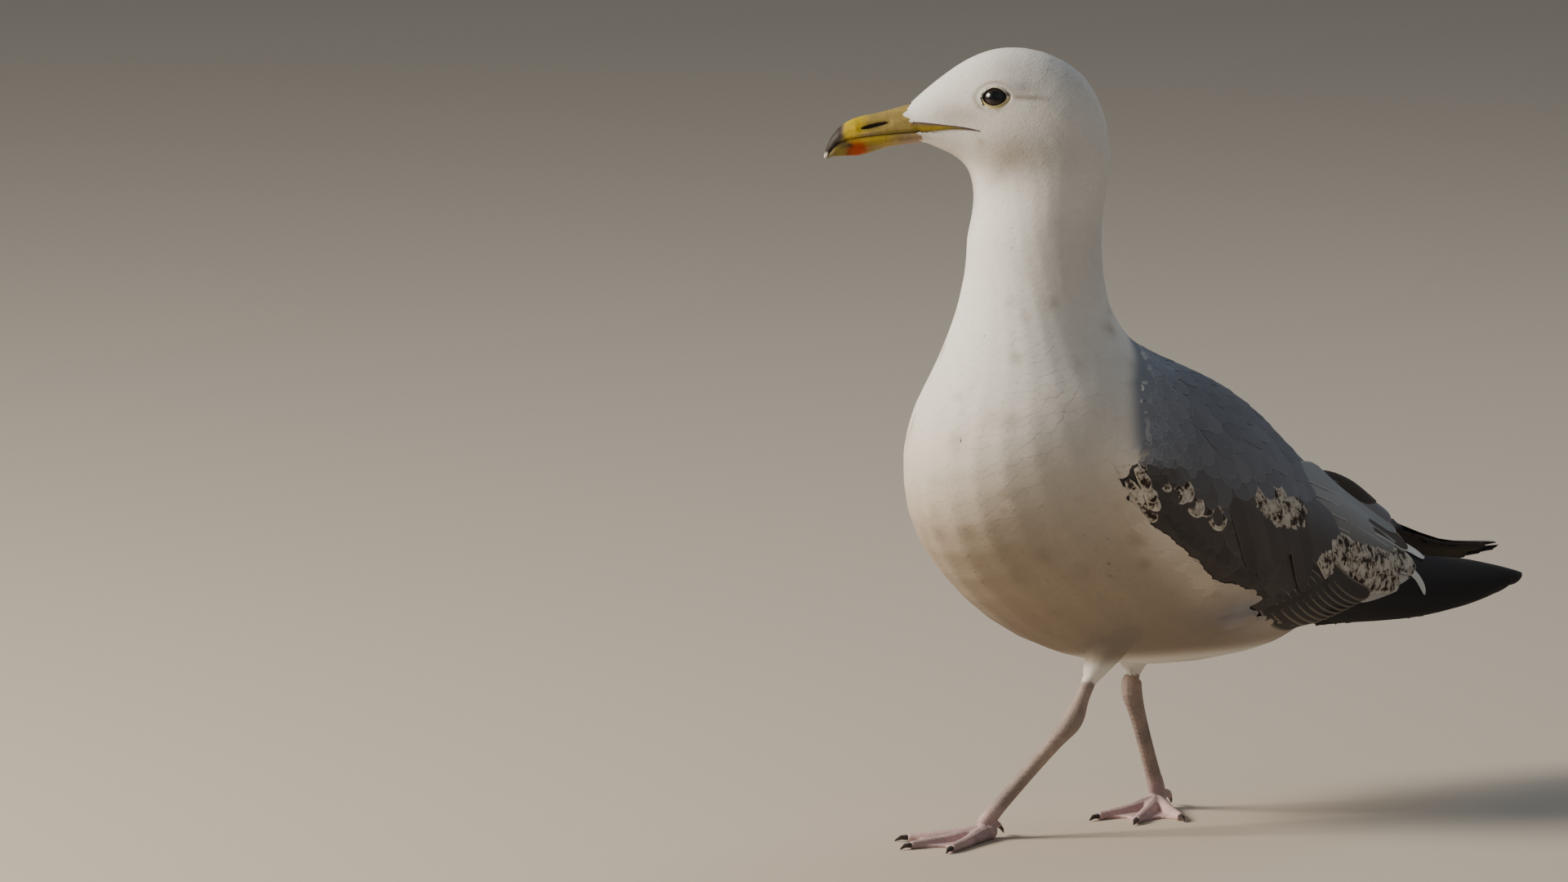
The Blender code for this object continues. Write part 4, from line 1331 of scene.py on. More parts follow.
class Vanes:
    """Long feathers gathered into one mesh.

    Guide lines lie in a plane: `to_space` takes its places to the body frame, and `way` is
    the direction from there to the surface.
    """

    def __init__(self, to_space, way, rng):
        self.to_space = to_space
        self.way = way
        self.rng = rng
        self.verts = []
        self.normals = []
        self.faces = []
        self.data = {name: [] for name in ("tint", "fringe", "lie", "rim", "edged", "uv", "mottle")}
        self.count = 0

    def add(self, surface, guide, width, layer, tint, fringe, edged=0.6, blunt=0.9, inner=False,
            tip_only=False, sink=2.2, mottled=0.0, loose=0.0, curl=0.0, narrow=1.0, cup=0.35):
        """One feather along a bent guide line of three places in the plane.

        `tint` is a colour or a function of places, and no `fringe` means a paler tint.  The
        root goes in by `sink` and the end comes out by `curl`, `edged` says how much of the
        fringe shows, `blunt` and `cup` shape the end and the cross-section, and `loose`
        strays the feather from its guide.
        """
        rng = self.rng
        root, bend, tip = (np.array(p, float) for p in guide)
        tip = tip + (tip - bend) * rng.normal(0.0, 0.16 * loose)
        bend = bend + rng.normal(0.0, 1.5 * loose, 2)
        width = width * (1.0 + rng.normal(0.0, 0.10 * loose))
        t = 1.0 - (1.0 - np.linspace(0.0, 1.0, VANE_ROWS)) ** 1.5
        line = (root * ((1 - t) ** 2)[:, None] + bend * (2 * t * (1 - t))[:, None]
                + tip * (t ** 2)[:, None])
        tangent = unit(np.gradient(line, axis=0))
        across = np.stack([tangent[:, 1], -tangent[:, 0]], 1)
        length = np.linalg.norm(np.diff(line, axis=0), axis=1).sum()
        cap = np.clip(width / length * blunt, 0.05, 0.9)
        end = np.sqrt(np.clip(1 - np.clip((t - 1 + cap) / cap, 0, 1) ** 2.2, 0.0, 1))
        half = width / 2 * (0.45 + 0.55 * smooth(t, 0.0, 0.3)) * np.maximum(end, 0.03)
        aside = half[:, None] * VANE_COLUMNS[None]
        flat = line[:, None] + across[:, None] * aside[..., None]
        spots, normal = drape(surface, self.to_space(flat), self.way, inner)
        rise = layer * LAYER + cup * (1 - VANE_COLUMNS ** 2)[None]
        rise = rise + SHAFT_RISE * (np.abs(VANE_COLUMNS) < 0.05)[None]
        rise = rise - sink * (1 - smooth(t, 0.0, 0.4))[:, None]
        rise = rise + curl * (smooth(t, 0.6, 1.0) ** 2)[:, None]
        top = spots + normal * rise[..., None]
        bottom = top - normal * VANE_THICK
        self.faces.append(slab_faces(top, normal) + self.count)
        top = top.reshape(-1, 3)
        normal = normal.reshape(-1, 3)
        self.verts.append(np.concatenate([top, bottom.reshape(-1, 3)]))
        self.normals.append(np.concatenate([normal, -normal]))
        self.count += 2 * len(top)
        run = np.broadcast_to((t * length)[:, None], aside.shape)
        seed = np.full(aside.shape, rng.random() * 50.0)
        rim = np.minimum(half[:, None] - np.abs(aside), (length - run) * 0.8 + 0.05) * narrow
        strength = np.full(aside.shape, edged)
        if tip_only:
            strength = strength * smooth(t, 0.72, 0.95)[:, None]
        shade = tint(top) if callable(tint) else np.tile(tint, (len(top), 1))
        shade = np.clip(shade * rng.normal(1.0, 0.06), 0, 1)
        pale = (np.clip(shade * PALER_EDGE, 0, 1) if fringe is None
                else np.tile(fringe, (len(top), 1)))
        cell = rng.random(2) * 0.9 + 0.05
        patch = np.stack([np.tile(VANE_COLUMNS, len(t)) * 0.006,
                          np.repeat(t, len(VANE_COLUMNS)) * 0.02], 1)
        barred = mottle_share(top) * 0.9 if mottled is None else np.full(len(top), mottled)
        lie = np.stack([aside, run, seed], -1).reshape(-1, 3)
        for name, part in (("tint", shade), ("fringe", pale), ("lie", lie), ("rim", rim.ravel()),
                           ("edged", strength.ravel()), ("uv", cell + patch), ("mottle", barred)):
            self.data[name].append(np.concatenate([part, part]))

    def row(self, surface, guides, width, layers, *look, **more):
        """Feathers side by side: `layers` gives the first one's layer, the step and the cycle."""
        first, step, cycle = layers
        for k, guide in enumerate(guides):
            self.add(surface, guide, width, first + (k % cycle) * step, *look, **more)

    def made(self, name, slot):
        """The piece, from all the feathers added."""
        data = {key: np.concatenate(value) for key, value in self.data.items()}
        feathered(name, np.concatenate(self.verts), np.concatenate(self.faces), data,
                  np.concatenate(self.normals))


INK = np.array([0.026, 0.023, 0.023])
SLATE = np.array([0.052, 0.046, 0.042])
BROWN = np.array([0.085, 0.064, 0.050])
BUFF = np.array([0.30, 0.26, 0.21])
PALE_GREY = np.array([0.20, 0.19, 0.18])


def upper_tone(points):
    """Markings of the upperparts."""
    return markings(points, np.ones(len(points)))


def belly_tone(points):
    """Markings of the underparts."""
    return markings(points, np.zeros(len(points)))


def tertial_tone(points):
    """Pale bluish grey of the innermost long feathers."""
    return upper_tone(points) * (1.78, 1.72, 1.52)


def flank_tone(points):
    """The flank's tuft over the wing's lower edge: whiter towards its end."""
    return belly_tone(points) * (1.0 + 0.12 * smooth(points[:, 1], 24.0, 40.0))[:, None]


def lower_tone(points):
    """Markings of the upperparts, a little darker."""
    return upper_tone(points) * 0.85


def between(first, last, count):
    """Evenly spaced guide lines from the first to the last."""
    first = np.array(first, float)
    last = np.array(last, float)
    return [first + (last - first) * k / (count - 1) for k in range(count)]


# near-wing guide lines as (y, z) of root, bend and tip, from the lowest layer up
PRIMARIES = (between(((60, 110), (128, 94), (194, 97)), ((84, 112), (176, 95), (243, 98.5)), 5)
             + between(((125, 112), (205, 97), (257, 101.5)),
                       ((130, 120), (225, 118), (277, 105.5)), 3))
FAN = between(((40, 126), (58, 104), (93, 99)), ((86, 140), (103, 119), (136, 112)), 11)
LONG_COVERTS = between(((14, 188), (24, 160), (36, 134)), ((98, 174), (98, 144), (108, 120)), 13)
WHITE_UNDER = (((116, 110), (146, 109), (178, 115)), ((126, 114), (152, 113), (184, 117)))
WHITE_TIPS = (((160, 122), (186, 121), (188, 105)), ((164, 132), (186, 131), (197, 121)))
FLANK_TUFT = between(((6, 118), (18, 122), (32, 125.5)), ((22, 106), (34, 106), (48, 108)), 15)
MOTTLED = (between(((84, 140), (98, 126), (112, 116)), ((120, 124), (142, 118), (166, 114)), 6)
           + between(((92, 150), (106, 138), (122, 125)), ((130, 134), (158, 128), (184, 119)), 6))
TERTIALS = between(((92, 154), (132, 142), (160, 129)), ((86, 182), (130, 168), (180, 136)), 5)
BROWN_TERTIAL = ((128, 152), (160, 143), (184, 128))

# the same for the inner side of the far wing, which shows over the back
FAR_BROWN = between(((180, 132), (220, 118), (262, 110)), ((176, 140), (220, 124), (286, 117)), 3)
FAR_DARK = ((150, 180), (180, 164), (214, 146))
FAR_VIOLET = between(((150, 152), (190, 144), (226, 127)), ((152, 164), (190, 152), (222, 135)), 2)


def edge_guides(sign):
    """Guide lines of the flank feathers that lie over the front of a wing's lower edge."""
    edge_y, edge_z = LOW_EDGE[sign].T
    guides = []
    for start in np.arange(-50.0, 22.0, 3.5):
        y = start + np.array((0.0, 8.0, 15.0))
        guides.append(np.stack([y, np.interp(y, edge_y, edge_z) + (-6.0, -1.5, 1.5)], 1))
    return guides


NO_CYCLE = 99              # more than the feathers in any row


def plane_across(x):
    """Function that takes (y, z) places to the body frame, at one distance aside."""
    def to_space(flat):
        return np.concatenate([np.full((*flat.shape[:-1], 1), x), flat], -1)
    return to_space


def wing_feathers(sign, side, rng):
    """Long feathers of one folded wing: primaries, white ones, then the fan and those over it."""
    surface = wings[sign]
    near_plane = plane_across(0.0)

    def to_space(flat):
        return near_plane(on_far_wing(flat) if sign < 0 else flat)

    way = (-sign, 0.0, 0.0)
    flight = Vanes(to_space, way, rng)
    flight.row(surface, PRIMARIES, 15.0, (-3.0, 1.0, NO_CYCLE), INK, PALE_GREY * 0.8, 0.5, 1.7,
               tip_only=True)
    flight.made("primaries_" + side, "flight_plumage")
    light = Vanes(to_space, way, rng)
    light.row(surface, WHITE_UNDER, 7.0, (2.0, 0.5, NO_CYCLE), WHITE * 0.7, WHITE, 0.3, 1.4)
    light.row(surface, WHITE_TIPS, 5.0, (5.0, 1.0, NO_CYCLE), WHITE, WHITE, 0.3, 1.6, curl=0.5)
    light.row(shell, edge_guides(sign), 7.5, (1.0, 0.4, 3), flank_tone, None, 0.1, 1.2,
              sink=2.0, loose=0.7, cup=0.1)
    light.row(shell, FLANK_TUFT, 7.0, (1.4, 0.5, 3), flank_tone, None, 0.1, 1.0,
              sink=2.4, loose=1.4)
    light.made("wing_whites_" + side, "white_plumage")
    dark = Vanes(to_space, way, rng)
    dark.row(shell, FAN, 9.0, (1.2, 0.8, NO_CYCLE), lower_tone, BUFF * 0.75, 0.8,
             sink=3.2, narrow=0.7, cup=0.05)
    dark.row(surface, MOTTLED, 13.0, (5.5, 0.15, NO_CYCLE), SLATE, BUFF, 0.5, mottled=1.0)
    dark.row(surface, TERTIALS, 15.0, (6.5, 0.8, NO_CYCLE), tertial_tone, WHITE * 0.62, 0.55, 1.3,
             sink=4.0, loose=0.4)
    dark.add(surface, BROWN_TERTIAL, 12.0, 9.0, BROWN, WHITE * 0.8, 0.9, 1.2, sink=4.0)
    dark.row(shell, LONG_COVERTS, 12.0, (3.0, 0.25, NO_CYCLE), upper_tone, None, 0.6, 1.3,
             sink=3.4, mottled=None, loose=1.6)
    dark.made("secondaries_" + side, "mottled_plumage")


def far_inner_feathers(rng):
    """Vanes on the inner side of the far wing."""
    surface = wings[-1]
    vanes = Vanes(plane_across(-10.0), (-1.0, 0.0, 0.0), rng)
    vanes.row(surface, FAR_BROWN, 9.0, (0.0, 0.8, NO_CYCLE), BROWN * 0.7, BROWN, 0.5, 1.6,
              inner=True, sink=0.6)
    vanes.row(surface, FAR_VIOLET, 13.0, (2.4, 0.8, NO_CYCLE), LAVENDER, WHITE * 0.7, 0.5, 1.2,
              inner=True, sink=0.6)
    vanes.add(surface, FAR_DARK, 13.0, 4.0, SLATE * 1.9, SLATE * 3.0, 0.5, 1.2,
              inner=True, sink=0.6)
    vanes.made("far_inner", "flight_plumage")


rng_wings = np.random.default_rng(WING_SEED)
for sign, side in SIDES:
    wing_feathers(sign, side, rng_wings)
far_inner_feathers(rng_wings)

CORE_RIM = 9.0             # a rim so wide that no pale edge shows


def core(name, co, normal, quads, tint, lie, uv, replaced):
    """Mass of feathers that the vanes lie on, a little under its nodes' surface."""
    none = np.zeros(len(co))
    data = {"tint": tint, "fringe": tint, "lie": np.stack([*lie, none], 1), "mottle": none,
            "rim": np.full(len(co), CORE_RIM), "edged": none, "uv": uv}
    feathered(name, co - normal * CORE_INSET, quads, data, replaced=replaced)


def wing_core(side):
    """The mass under one wing's outer vanes."""
    names = ["wing_%s_%s" % (side, part) for part in ("tertials", "primaries")]
    co, quads = voxel_shell(names, WING_VOXEL, 6)
    normal = vertex_normals(co, split_quads(quads))
    paint = Paint(upper_tone(co))
    inside = normal[:, 0] * np.sign(co[:, 0]) < -0.2
    violet = smooth(above_low_edge(co), 12.0, 20.0) * (1 - smooth(co[:, 1], 218.0, 232.0))
    paint.shade(LAVENDER, inside * violet)
    uv = np.stack([co[:, 1] / 300.0, co[:, 2] / 300.0 + 0.5 * inside], 1) * 0.9
    core("wing_core_" + side, co, normal, quads, paint.colour, (co[:, 2], co[:, 1]), uv, names)


for _, side in SIDES:
    wing_core(side)


# ------------------------------------------------------------------ tail
TAIL_PAIRS = 6
TAIL_ROOT_Y = 190.0
TAIL_BEND_Y = 226.0
TAIL_SPREAD = (6.5, 15.0)           # half width over the middles of the feathers, root and tip
TAIL_PLANE = 110.0                  # height of the plane that its guide lines lie in
TAIL_SEED = 31


def tail_tone(points):
    """White tail feathers with a broken dark band before their tips."""
    wave = 1.6 * np.sin(points[:, 0] * 1.1) + 1.2 * np.sin(points[:, 0] * 2.7 + 1.0)
    along = points[:, 1] + wave
    dark = 0.9 * band(along, 232.0, 240.0, 254.0, 257.0)
    return toward(WHITE, SLATE, dark[:, None])


def tail():
    """Twelve tail feathers laid over and under the node's mass."""
    co, quads = voxel_shell(("tail",), WING_VOXEL, 4)
    surface = Surface(co, split_quads(quads))
    under = surface.normal[:, 2] < 0
    uv = np.stack([co[:, 0] / 60.0 + 0.4, (co[:, 1] - TAIL_ROOT_Y) / 160.0 + 0.5 * under], 1)
    core("tail_core", co, surface.normal, quads, tail_tone(co), (co[:, 0], co[:, 1]), uv, ("tail",))

    def to_space(flat):
        return np.concatenate([flat, np.full((*flat.shape[:-1], 1), TAIL_PLANE)], -1)

    vanes = Vanes(to_space, None, np.random.default_rng(TAIL_SEED))
    for up in (-1.0, 1.0):
        vanes.way = (0.0, 0.0, up)
        for pair in range(TAIL_PAIRS, 0, -1):
            for sign, _ in SIDES:
                place = sign * (pair - 0.5) / TAIL_PAIRS
                end = TAIL_END_Y - 1.0 - 2.0 * abs(place)
                guide = ((TAIL_SPREAD[0] * place, TAIL_ROOT_Y),
                         ((TAIL_SPREAD[0] + TAIL_SPREAD[1]) / 2 * place, TAIL_BEND_Y),
                         (TAIL_SPREAD[1] * place, end))
                vanes.add(surface, guide, 8.0, (TAIL_PAIRS - pair) * 0.5, tail_tone, None,
                          0.2, 0.8, sink=1.5)
    vanes.made("tail_feathers", "flight_plumage")


tail()


# ------------------------------------------------------------------ the skin
SKIN_VOXEL = 2.6
LEG_VOXEL = 0.7
COAT_DEPTH = 1.3           # how far the skin lies under the coat, on the body and the face
FACE_DEPTH = 0.5
LEG_NODES = ("shin", "tarsus", "foot")
LID_REACH = 12.5
LID_DEEP = 1.3             # how far the lids' faces go in behind the ball's surface
LID_PROUD = 0.65           # and how far the rim stands over it
FOOT_TOP = 16.0
SCUTE_PITCH = 2.6
SCUTE_DEPTH = 0.28
TOE_SCALE = 1.8
TOE_SCALE_DEPTH = 0.22
LEG_TONE = np.array([0.36, 0.295, 0.26])
WEB_TONE = np.array([0.56, 0.42, 0.43])
LID_YELLOW = np.array([0.50, 0.43, 0.11])
LID_CREAM = np.array([0.66, 0.60, 0.46])
LID_PINK = np.array([0.50, 0.43, 0.35])
LID_DARK = np.array([0.035, 0.026, 0.022])


def refine_round_eyes(mesh):
    """Cut the faces round the eyes finer, for the lids."""
    for reach, cuts in ((LID_REACH, 3), (LID_REACH - 3.0, 1)):
        co = mesh_points(mesh)
        work = bmesh.new()
        work.from_mesh(mesh)
        near = np.zeros(len(co), bool)
        for sign, _ in SIDES:
            a, b, h = eye_place(co, sign)
            near |= (np.hypot(a, b) < reach) & (h > -3.0)
        edges = [e for e in work.edges if near[e.verts[0].index] and near[e.verts[1].index]]
        bmesh.ops.subdivide_edges(work, edges=edges, cuts=cuts, use_grid_fill=True)
        work.to_mesh(mesh)
        work.free()


def lids(co):
    """Shape the lids over the balls: rim, fold and hollow; and where each point lies on them."""
    place = np.full(len(co), NOWHERE)
    high = np.zeros(len(co))
    ahead = np.zeros(len(co))
    for sign, _ in SIDES:
        out = eye_frame(sign)[3]
        share, a, b = eye_rim(co, sign)
        height = eye_place(co, sign)[2]
        near = (share < 4.0) & (height > 0.0)
        level = np.minimum(1.0, 1.20 / np.maximum(share, 0.1)) ** 2
        ball = np.sqrt(np.maximum(EYE_RADIUS ** 2 - 0.80 * (a ** 2 + b ** 2) * level, 9.0))
        rim = smooth(share, 0.90, 1.02)
        lid = ball - LID_DEEP + (LID_DEEP + LID_PROUD) * rim
        blend = smooth(share, 1.16, 1.72)
        wanted = lid * (1 - blend) + height * blend
        wanted = wanted - 0.16 * blot((share - 1.46) / 0.07) - 0.16 * blot((share - 1.75) / 0.08)
        wanted = wanted + 0.14 * blot((share - 1.07) / 0.05)
        co = co + out * ((wanted - height) * near)[:, None]
        place = np.where(near, share, place)
        high = np.where(near, b, high)
        ahead = np.where(near, a, ahead)
    return co, place, high, ahead


def distance_along_toes(points, side):
    """Horizontal distance from the leg's foot, along which the toes' scales repeat."""
    low, high = (np.array(c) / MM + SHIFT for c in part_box("claw_%s_hind" % side))
    heel = (low + high) / 2
    return np.hypot(points[:, 0] - heel[0], points[:, 1] - heel[1])


def grooves(distance, pitch):
    """Narrow grooves, 1 in their middles, that repeat along a distance."""
    return 1 - smooth(np.abs(np.sin(distance * math.pi / pitch)), 0.0, 0.45)


def leg_shell(side):
    """Shin, tarsus and foot in one, with scutes down the front and scales on the toes."""
    co, quads = voxel_shell(["%s_%s" % (part, side) for part in LEG_NODES], LEG_VOXEL, 2)
    normal = vertex_normals(co, split_quads(quads))
    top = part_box("tarsus_" + side)[1].z / MM
    z = co[:, 2]
    tarsus = band(z, FOOT_TOP - 2.0, FOOT_TOP + 4.0, top - 6.0, top + 2.0)
    front = smooth(-normal[:, 1], -0.1, 0.5)
    co = co - normal * (SCUTE_DEPTH * tarsus * front * grooves(z, SCUTE_PITCH))[:, None]
    on_toe = smooth(normal[:, 2], 0.35, 0.8) * (1 - smooth(z, FOOT_TOP - 4.0, FOOT_TOP))
    on_toe = on_toe * smooth(z, 3.4, 4.4)
    toe = distance_along_toes(co, side)
    co = co - normal * (TOE_SCALE_DEPTH * on_toe * grooves(toe, TOE_SCALE))[:, None]
    return co, quads


def skin_colour(co, lid_place, lid_high, lid_ahead):
    """Markings of the coat, carried on over lids, legs and feet, with painted shade round the lids;
    and the bare share.
    """
    z = co[:, 2]
    leg = 1.0 - smooth(z, BARE_LEG - 1.0, BARE_LEG + 2.0)
    bare = Paint(LEG_TONE, len(co))
    bare.shade(WEB_TONE, 1 - smooth(z, 8.0, 22.0))
    paint = Paint(markings(co))
    shade = paint.shade
    shade(bare.colour, leg)
    upper = smooth(lid_high, -0.5, 2.0)
    lower = 1 - smooth(lid_high, -2.0, 0.0)
    rear = smooth(-lid_ahead, 3.6, 5.2)
    shade(LID_PINK, lower * (1 - smooth(lid_place, 1.62, 1.78)))
    shade(LID_CREAM, upper * (1 - smooth(lid_place, 1.44, 1.54)) * (1 - rear)
          * (1 - smooth(lid_ahead, 3.5, 5.6)))
    # painted shade in front of the lids
    shade(DUSKY * 1.1, 0.3 * smooth(lid_ahead, 4.0, 5.6) * (1 - smooth(lid_place, 1.2, 1.5)))
    shade(LID_YELLOW, lower * blot((lid_place - 1.10) / 0.10) * 0.95)
    shade(LID_YELLOW * 0.7 + LID_CREAM * 0.3, lower * blot((lid_place - 1.26) / 0.09) * 0.7)
    shade(LID_CREAM, rear * (1 - smooth(lid_high, -0.6, 0.6)) * blot((lid_place - 1.34) / 0.20))
    # painted shade in the crease under the lower lid, towards the rear
    shade(DUSKY * 0.5, rear * lower * 0.8 * blot((lid_place - 1.60) / 0.05))
    shade(DUSKY * 0.45, 0.85 * rear * band(lid_high, -0.4, 0.8, 1.4, 2.8)
          * (1 - smooth(lid_place, 1.15, 1.45)))
    # painted shade in the fold over the upper lid
    shade(DUSKY * 0.6, 0.25 * upper * blot((lid_place - 1.56) / 0.07))
    shade(LID_DARK, 1 - smooth(lid_place, 0.97, 1.05))
    return paint.colour, leg


def skin_material():
    """Feathered skin above, scaly bare skin on the legs and lids."""
    n = Nodes("skin", 0.62, Specular_IOR_Level=0.35)
    bare = n.attribute("bare")
    spot = n.spot()
    cells = n.add("ShaderNodeTexVoronoi", feature='DISTANCE_TO_EDGE')
    cells.inputs["Scale"].default_value = 620.0
    n.link(spot, cells.inputs["Vector"])
    groove = n.step(cells.outputs["Distance"], 0.02, 0.16)
    patchy = n.noise(spot, 55.0, 3.0, 0.6)
    blotchy = n.ramp(patchy, (0.32, (0.62, 0.60, 0.62)), (0.68, (1.12, 1.04, 1.0)))
    scaled = n.mix(bare, (1.0, 1.0, 1.0), blotchy)
    tint = n.times(n.attribute("tint", "Color"), scaled)
    dark = n.mix(groove, (0.86, 0.83, 0.81), (1.0, 1.0, 1.0))
    tint = n.times(tint, n.mix(bare, (1.0, 1.0, 1.0), dark))
    n.bump(n.math('MULTIPLY', groove, bare), 0.18, 0.0003)
    return n.colour(tint)


def make_skin():
    """The one skin over all the flesh, with lids and scaly legs."""
    co, quads = voxel_shell(FLESH + WING_BASES + ("eye_l", "eye_r"), SKIN_VOXEL, 5, flank_fill)
    co = tucked(eased(co, quads))
    normal = vertex_normals(co, split_quads(quads))
    f, _, z = head_frame(co)
    face = smooth(z, 330.0, 350.0) * smooth(f, -10.0, 15.0)
    lidded = 1.0 - smooth(eye_clearance(co), 1.3, 2.2)
    depth = toward(COAT_DEPTH, FACE_DEPTH, face)
    co = co - normal * (depth * (1 - lidded))[:, None]
    legs = [(c, [q]) for c, q in (leg_shell(side) for _, side in SIDES)]
    mesh = combined((co, [quads]), legs, 'UNION')
    refine_round_eyes(mesh)
    verts, *lid_at = lids(mesh_points(mesh))
    place_points(mesh, verts)
    mesh.name = "skin"
    for attribute in [a.name for a in mesh.attributes if not a.is_internal
                      and a.name not in ("position", "sharp_face", "material_index")]:
        mesh.attributes.remove(mesh.attributes[attribute])
    mesh.materials.clear()
    mesh.shade_smooth()
    mesh.update()
    tint, bare = skin_colour(verts, *lid_at)
    lidded = 1.0 - smooth(lid_at[0], 1.3, 1.6)
    add_attributes(mesh, {"tint": tint}, None, {"bare": np.maximum(bare, 0.15 * lidded)})
    turn = np.arctan2(verts[:, 0], verts[:, 1] - 30.0) / (2 * math.pi) + 0.5
    add_bake_map(mesh, np.stack([turn, verts[:, 2] / 420.0 + 0.02], 1))
    replaced = FLESH + WING_BASES + tuple("%s_%s" % (part, side) for part in LEG_NODES
                                          for _, side in SIDES)
    piece(mesh, skin_material(), replaced)


make_skin()


# ------------------------------------------------------------------ eyes
CORNEA_RISE = 0.35
EYE_RINGS = 40
EYE_SPOKES = 64


def eyeball(sign, side, material):
    """Ball with a domed cornea; `ring` is the place across the iris in millimetres."""
    centre, ahead, up, out = eye_frame(sign)
    rows, columns = EYE_RINGS, EYE_SPOKES
    polar = np.linspace(0.0, math.pi * 0.62, rows)
    angle = np.linspace(0.0, 2 * math.pi, columns, endpoint=False)
    p, a = np.meshgrid(polar, angle, indexing="ij")
    ring = np.sin(p) * EYE_RADIUS
    high = np.cos(p) * EYE_RADIUS + CORNEA_RISE * (1 - smooth(p, 0.0, 0.85))
    verts = (centre + ring[..., None] * (np.cos(a)[..., None] * ahead + np.sin(a)[..., None] * up)
             + high[..., None] * out)
    verts = verts[1:].reshape(-1, 3)
    ring = ring[1:].ravel()
    top = centre + out * (EYE_RADIUS + CORNEA_RISE)
    bottom = centre + out * (math.cos(polar[-1]) * EYE_RADIUS)
    last = len(verts)
    verts = np.concatenate([verts, [top], [bottom]])
    index = np.arange((rows - 1) * columns).reshape(rows - 1, columns)
    turned = np.roll(index, -1, axis=1)
    quads = np.stack([index[:-1].ravel(), index[1:].ravel(), turned[1:].ravel(),
                      turned[:-1].ravel()], 1)
    caps = np.concatenate([np.stack([np.full(columns, last), index[0], turned[0]], 1),
                           np.stack([np.full(columns, last + 1), turned[-1], index[-1]], 1)])
    if sign > 0:
        quads = quads[:, ::-1]
        caps = caps[:, ::-1]
    mesh = mesh_from("eyeball_" + side, verts, [quads, caps])
    ring = np.concatenate([ring, [0.0, 9.0]])
    spin = np.concatenate([np.tile(angle, rows - 1), [0.0, 0.0]])
    lie = np.stack([np.cos(spin), np.sin(spin), ring], 1)
    add_attributes(mesh, None, {"lie": lie}, {"ring": ring})
    add_bake_map(mesh, lie[:, :2] * ring[:, None] / 24.0 + 0.5)
    piece(mesh, material, ("eye_" + side,))


def eye_material():
    """Dark iris with faint rays, pupil and ball, under a clear coat."""
    n = Nodes("eye", 0.22, Specular_IOR_Level=0.25, Coat_Weight=0.5, Coat_Roughness=0.09)
    x, y, ring = n.split(n.attribute("lie", "Vector"))
    rays = n.noise(n.combine(n.math('MULTIPLY', x, 9.0), n.math('MULTIPLY', y, 9.0),
                             n.math('MULTIPLY', ring, 0.6)), 1.0, 3.0, 0.6)
    iris = n.ramp(rays, (0.3, (0.010, 0.006, 0.006)), (0.7, (0.028, 0.018, 0.016)))
    pupil = n.step(n.attribute("ring"), 2.7, 3.0)
    tint = n.mix(pupil, (0.003, 0.003, 0.003), iris)
    outer = n.step(n.attribute("ring"), 5.2, 5.9)
    return n.colour(n.mix(outer, tint, (0.030, 0.022, 0.018)))


eye_look = eye_material()
for sign, side in SIDES:
    eyeball(sign, side, eye_look)


# ------------------------------------------------------------------ bill
BILL_VOXEL = 0.5
NOSTRIL = ((76.2, 366.7), (89.5, 363.7))        # ends of the slit: ahead, height
NOSTRIL_WIDTH = 1.15
NOSTRIL_DEPTH = 1.3
MOUTH_GAP = 0.9
# lower edge of the upper half, and the line over which its hook is paler: ahead, height
UPPER_EDGE = ((59, 361.3), (80, 359.6), (92, 358.4), (99, 356.6), (108, 351.0))
HOOK_EDGE = ((98, 360), (104, 355), (108, 350))
HORN = np.array([0.31, 0.235, 0.075])
YELLOW = np.array([0.47, 0.34, 0.015])
OLIVE = np.array([0.22, 0.17, 0.030])
RED = np.array([0.42, 0.052, 0.002])
TIP_GREY = np.array([0.052, 0.043, 0.036])
TIP_BLACK = np.array([0.022, 0.018, 0.017])
TIP_PALE = np.array([0.55, 0.53, 0.46])
PINKISH = np.array([0.36, 0.26, 0.20])
GAPE_PURPLE = np.array([0.085, 0.055, 0.075])


def nostril_slit(f, z):
    """Distance from the nostril's middle line, and the slit's half width there."""
    start = np.array(NOSTRIL[0])
    step = np.array(NOSTRIL[1]) - start
    rel = np.stack([f, z], -1) - start
    part = np.clip(rel @ step / (step @ step), 0, 1)
    width = NOSTRIL_WIDTH * np.sqrt(np.clip(1.05 - (2 * part - 1) ** 2, 0, 1))
    return np.hypot(*(rel - part[..., None] * step).T), width


def paint_upper(shade, f, l, z):
    """Markings of the bill's upper half, with painted shade inside the nostril slit."""
    above = z - np.interp(f, *np.array(UPPER_EDGE).T)
    above_hook = z - np.interp(f, *np.array(HOOK_EDGE).T)
    forward = f + (z - 360) * 0.25
    shade(OLIVE, 0.55 * (1 - smooth(above, 1.0, 5.5)) * (1 - smooth(f, 84, 92)))
    shade(YELLOW, smooth(f, 84, 91) * (1 - smooth(forward, 98.0, 100.5)) * 0.95)
    shade(PINKISH * 0.8, 0.7 * oval(f, z, (86, 360.0), (6, 1.5)))
    shade(TIP_GREY, smooth(forward, 98.4, 101.0))
    shade(TIP_BLACK, 0.9 * smooth(f, 99.0, 103.0) * (1 - smooth(above_hook, 0.0, 3.0)))
    shade(TIP_BLACK * 1.6, 0.8 * oval(f, z, (99.5, 359.0), (2.2, 2.4)))
    shade(TIP_PALE, smooth(f, 105.6, 107.0) * (1 - smooth(z, 350.0, 352.0)))
    far, width = nostril_slit(f, z)
    shade(OLIVE * 0.7, 0.6 * (1 - smooth(far, width, width + 1.6)))
    # painted shade inside the nostril slit
    shade(LID_DARK, (1 - smooth(far, width * 0.75, width * 1.15)) * (np.abs(l) > 2.0))
    shade(GAPE_PURPLE, 0.5 * (1 - smooth(f, 59.5, 62.5)) * (1 - smooth(z, 367.0, 368.5)))


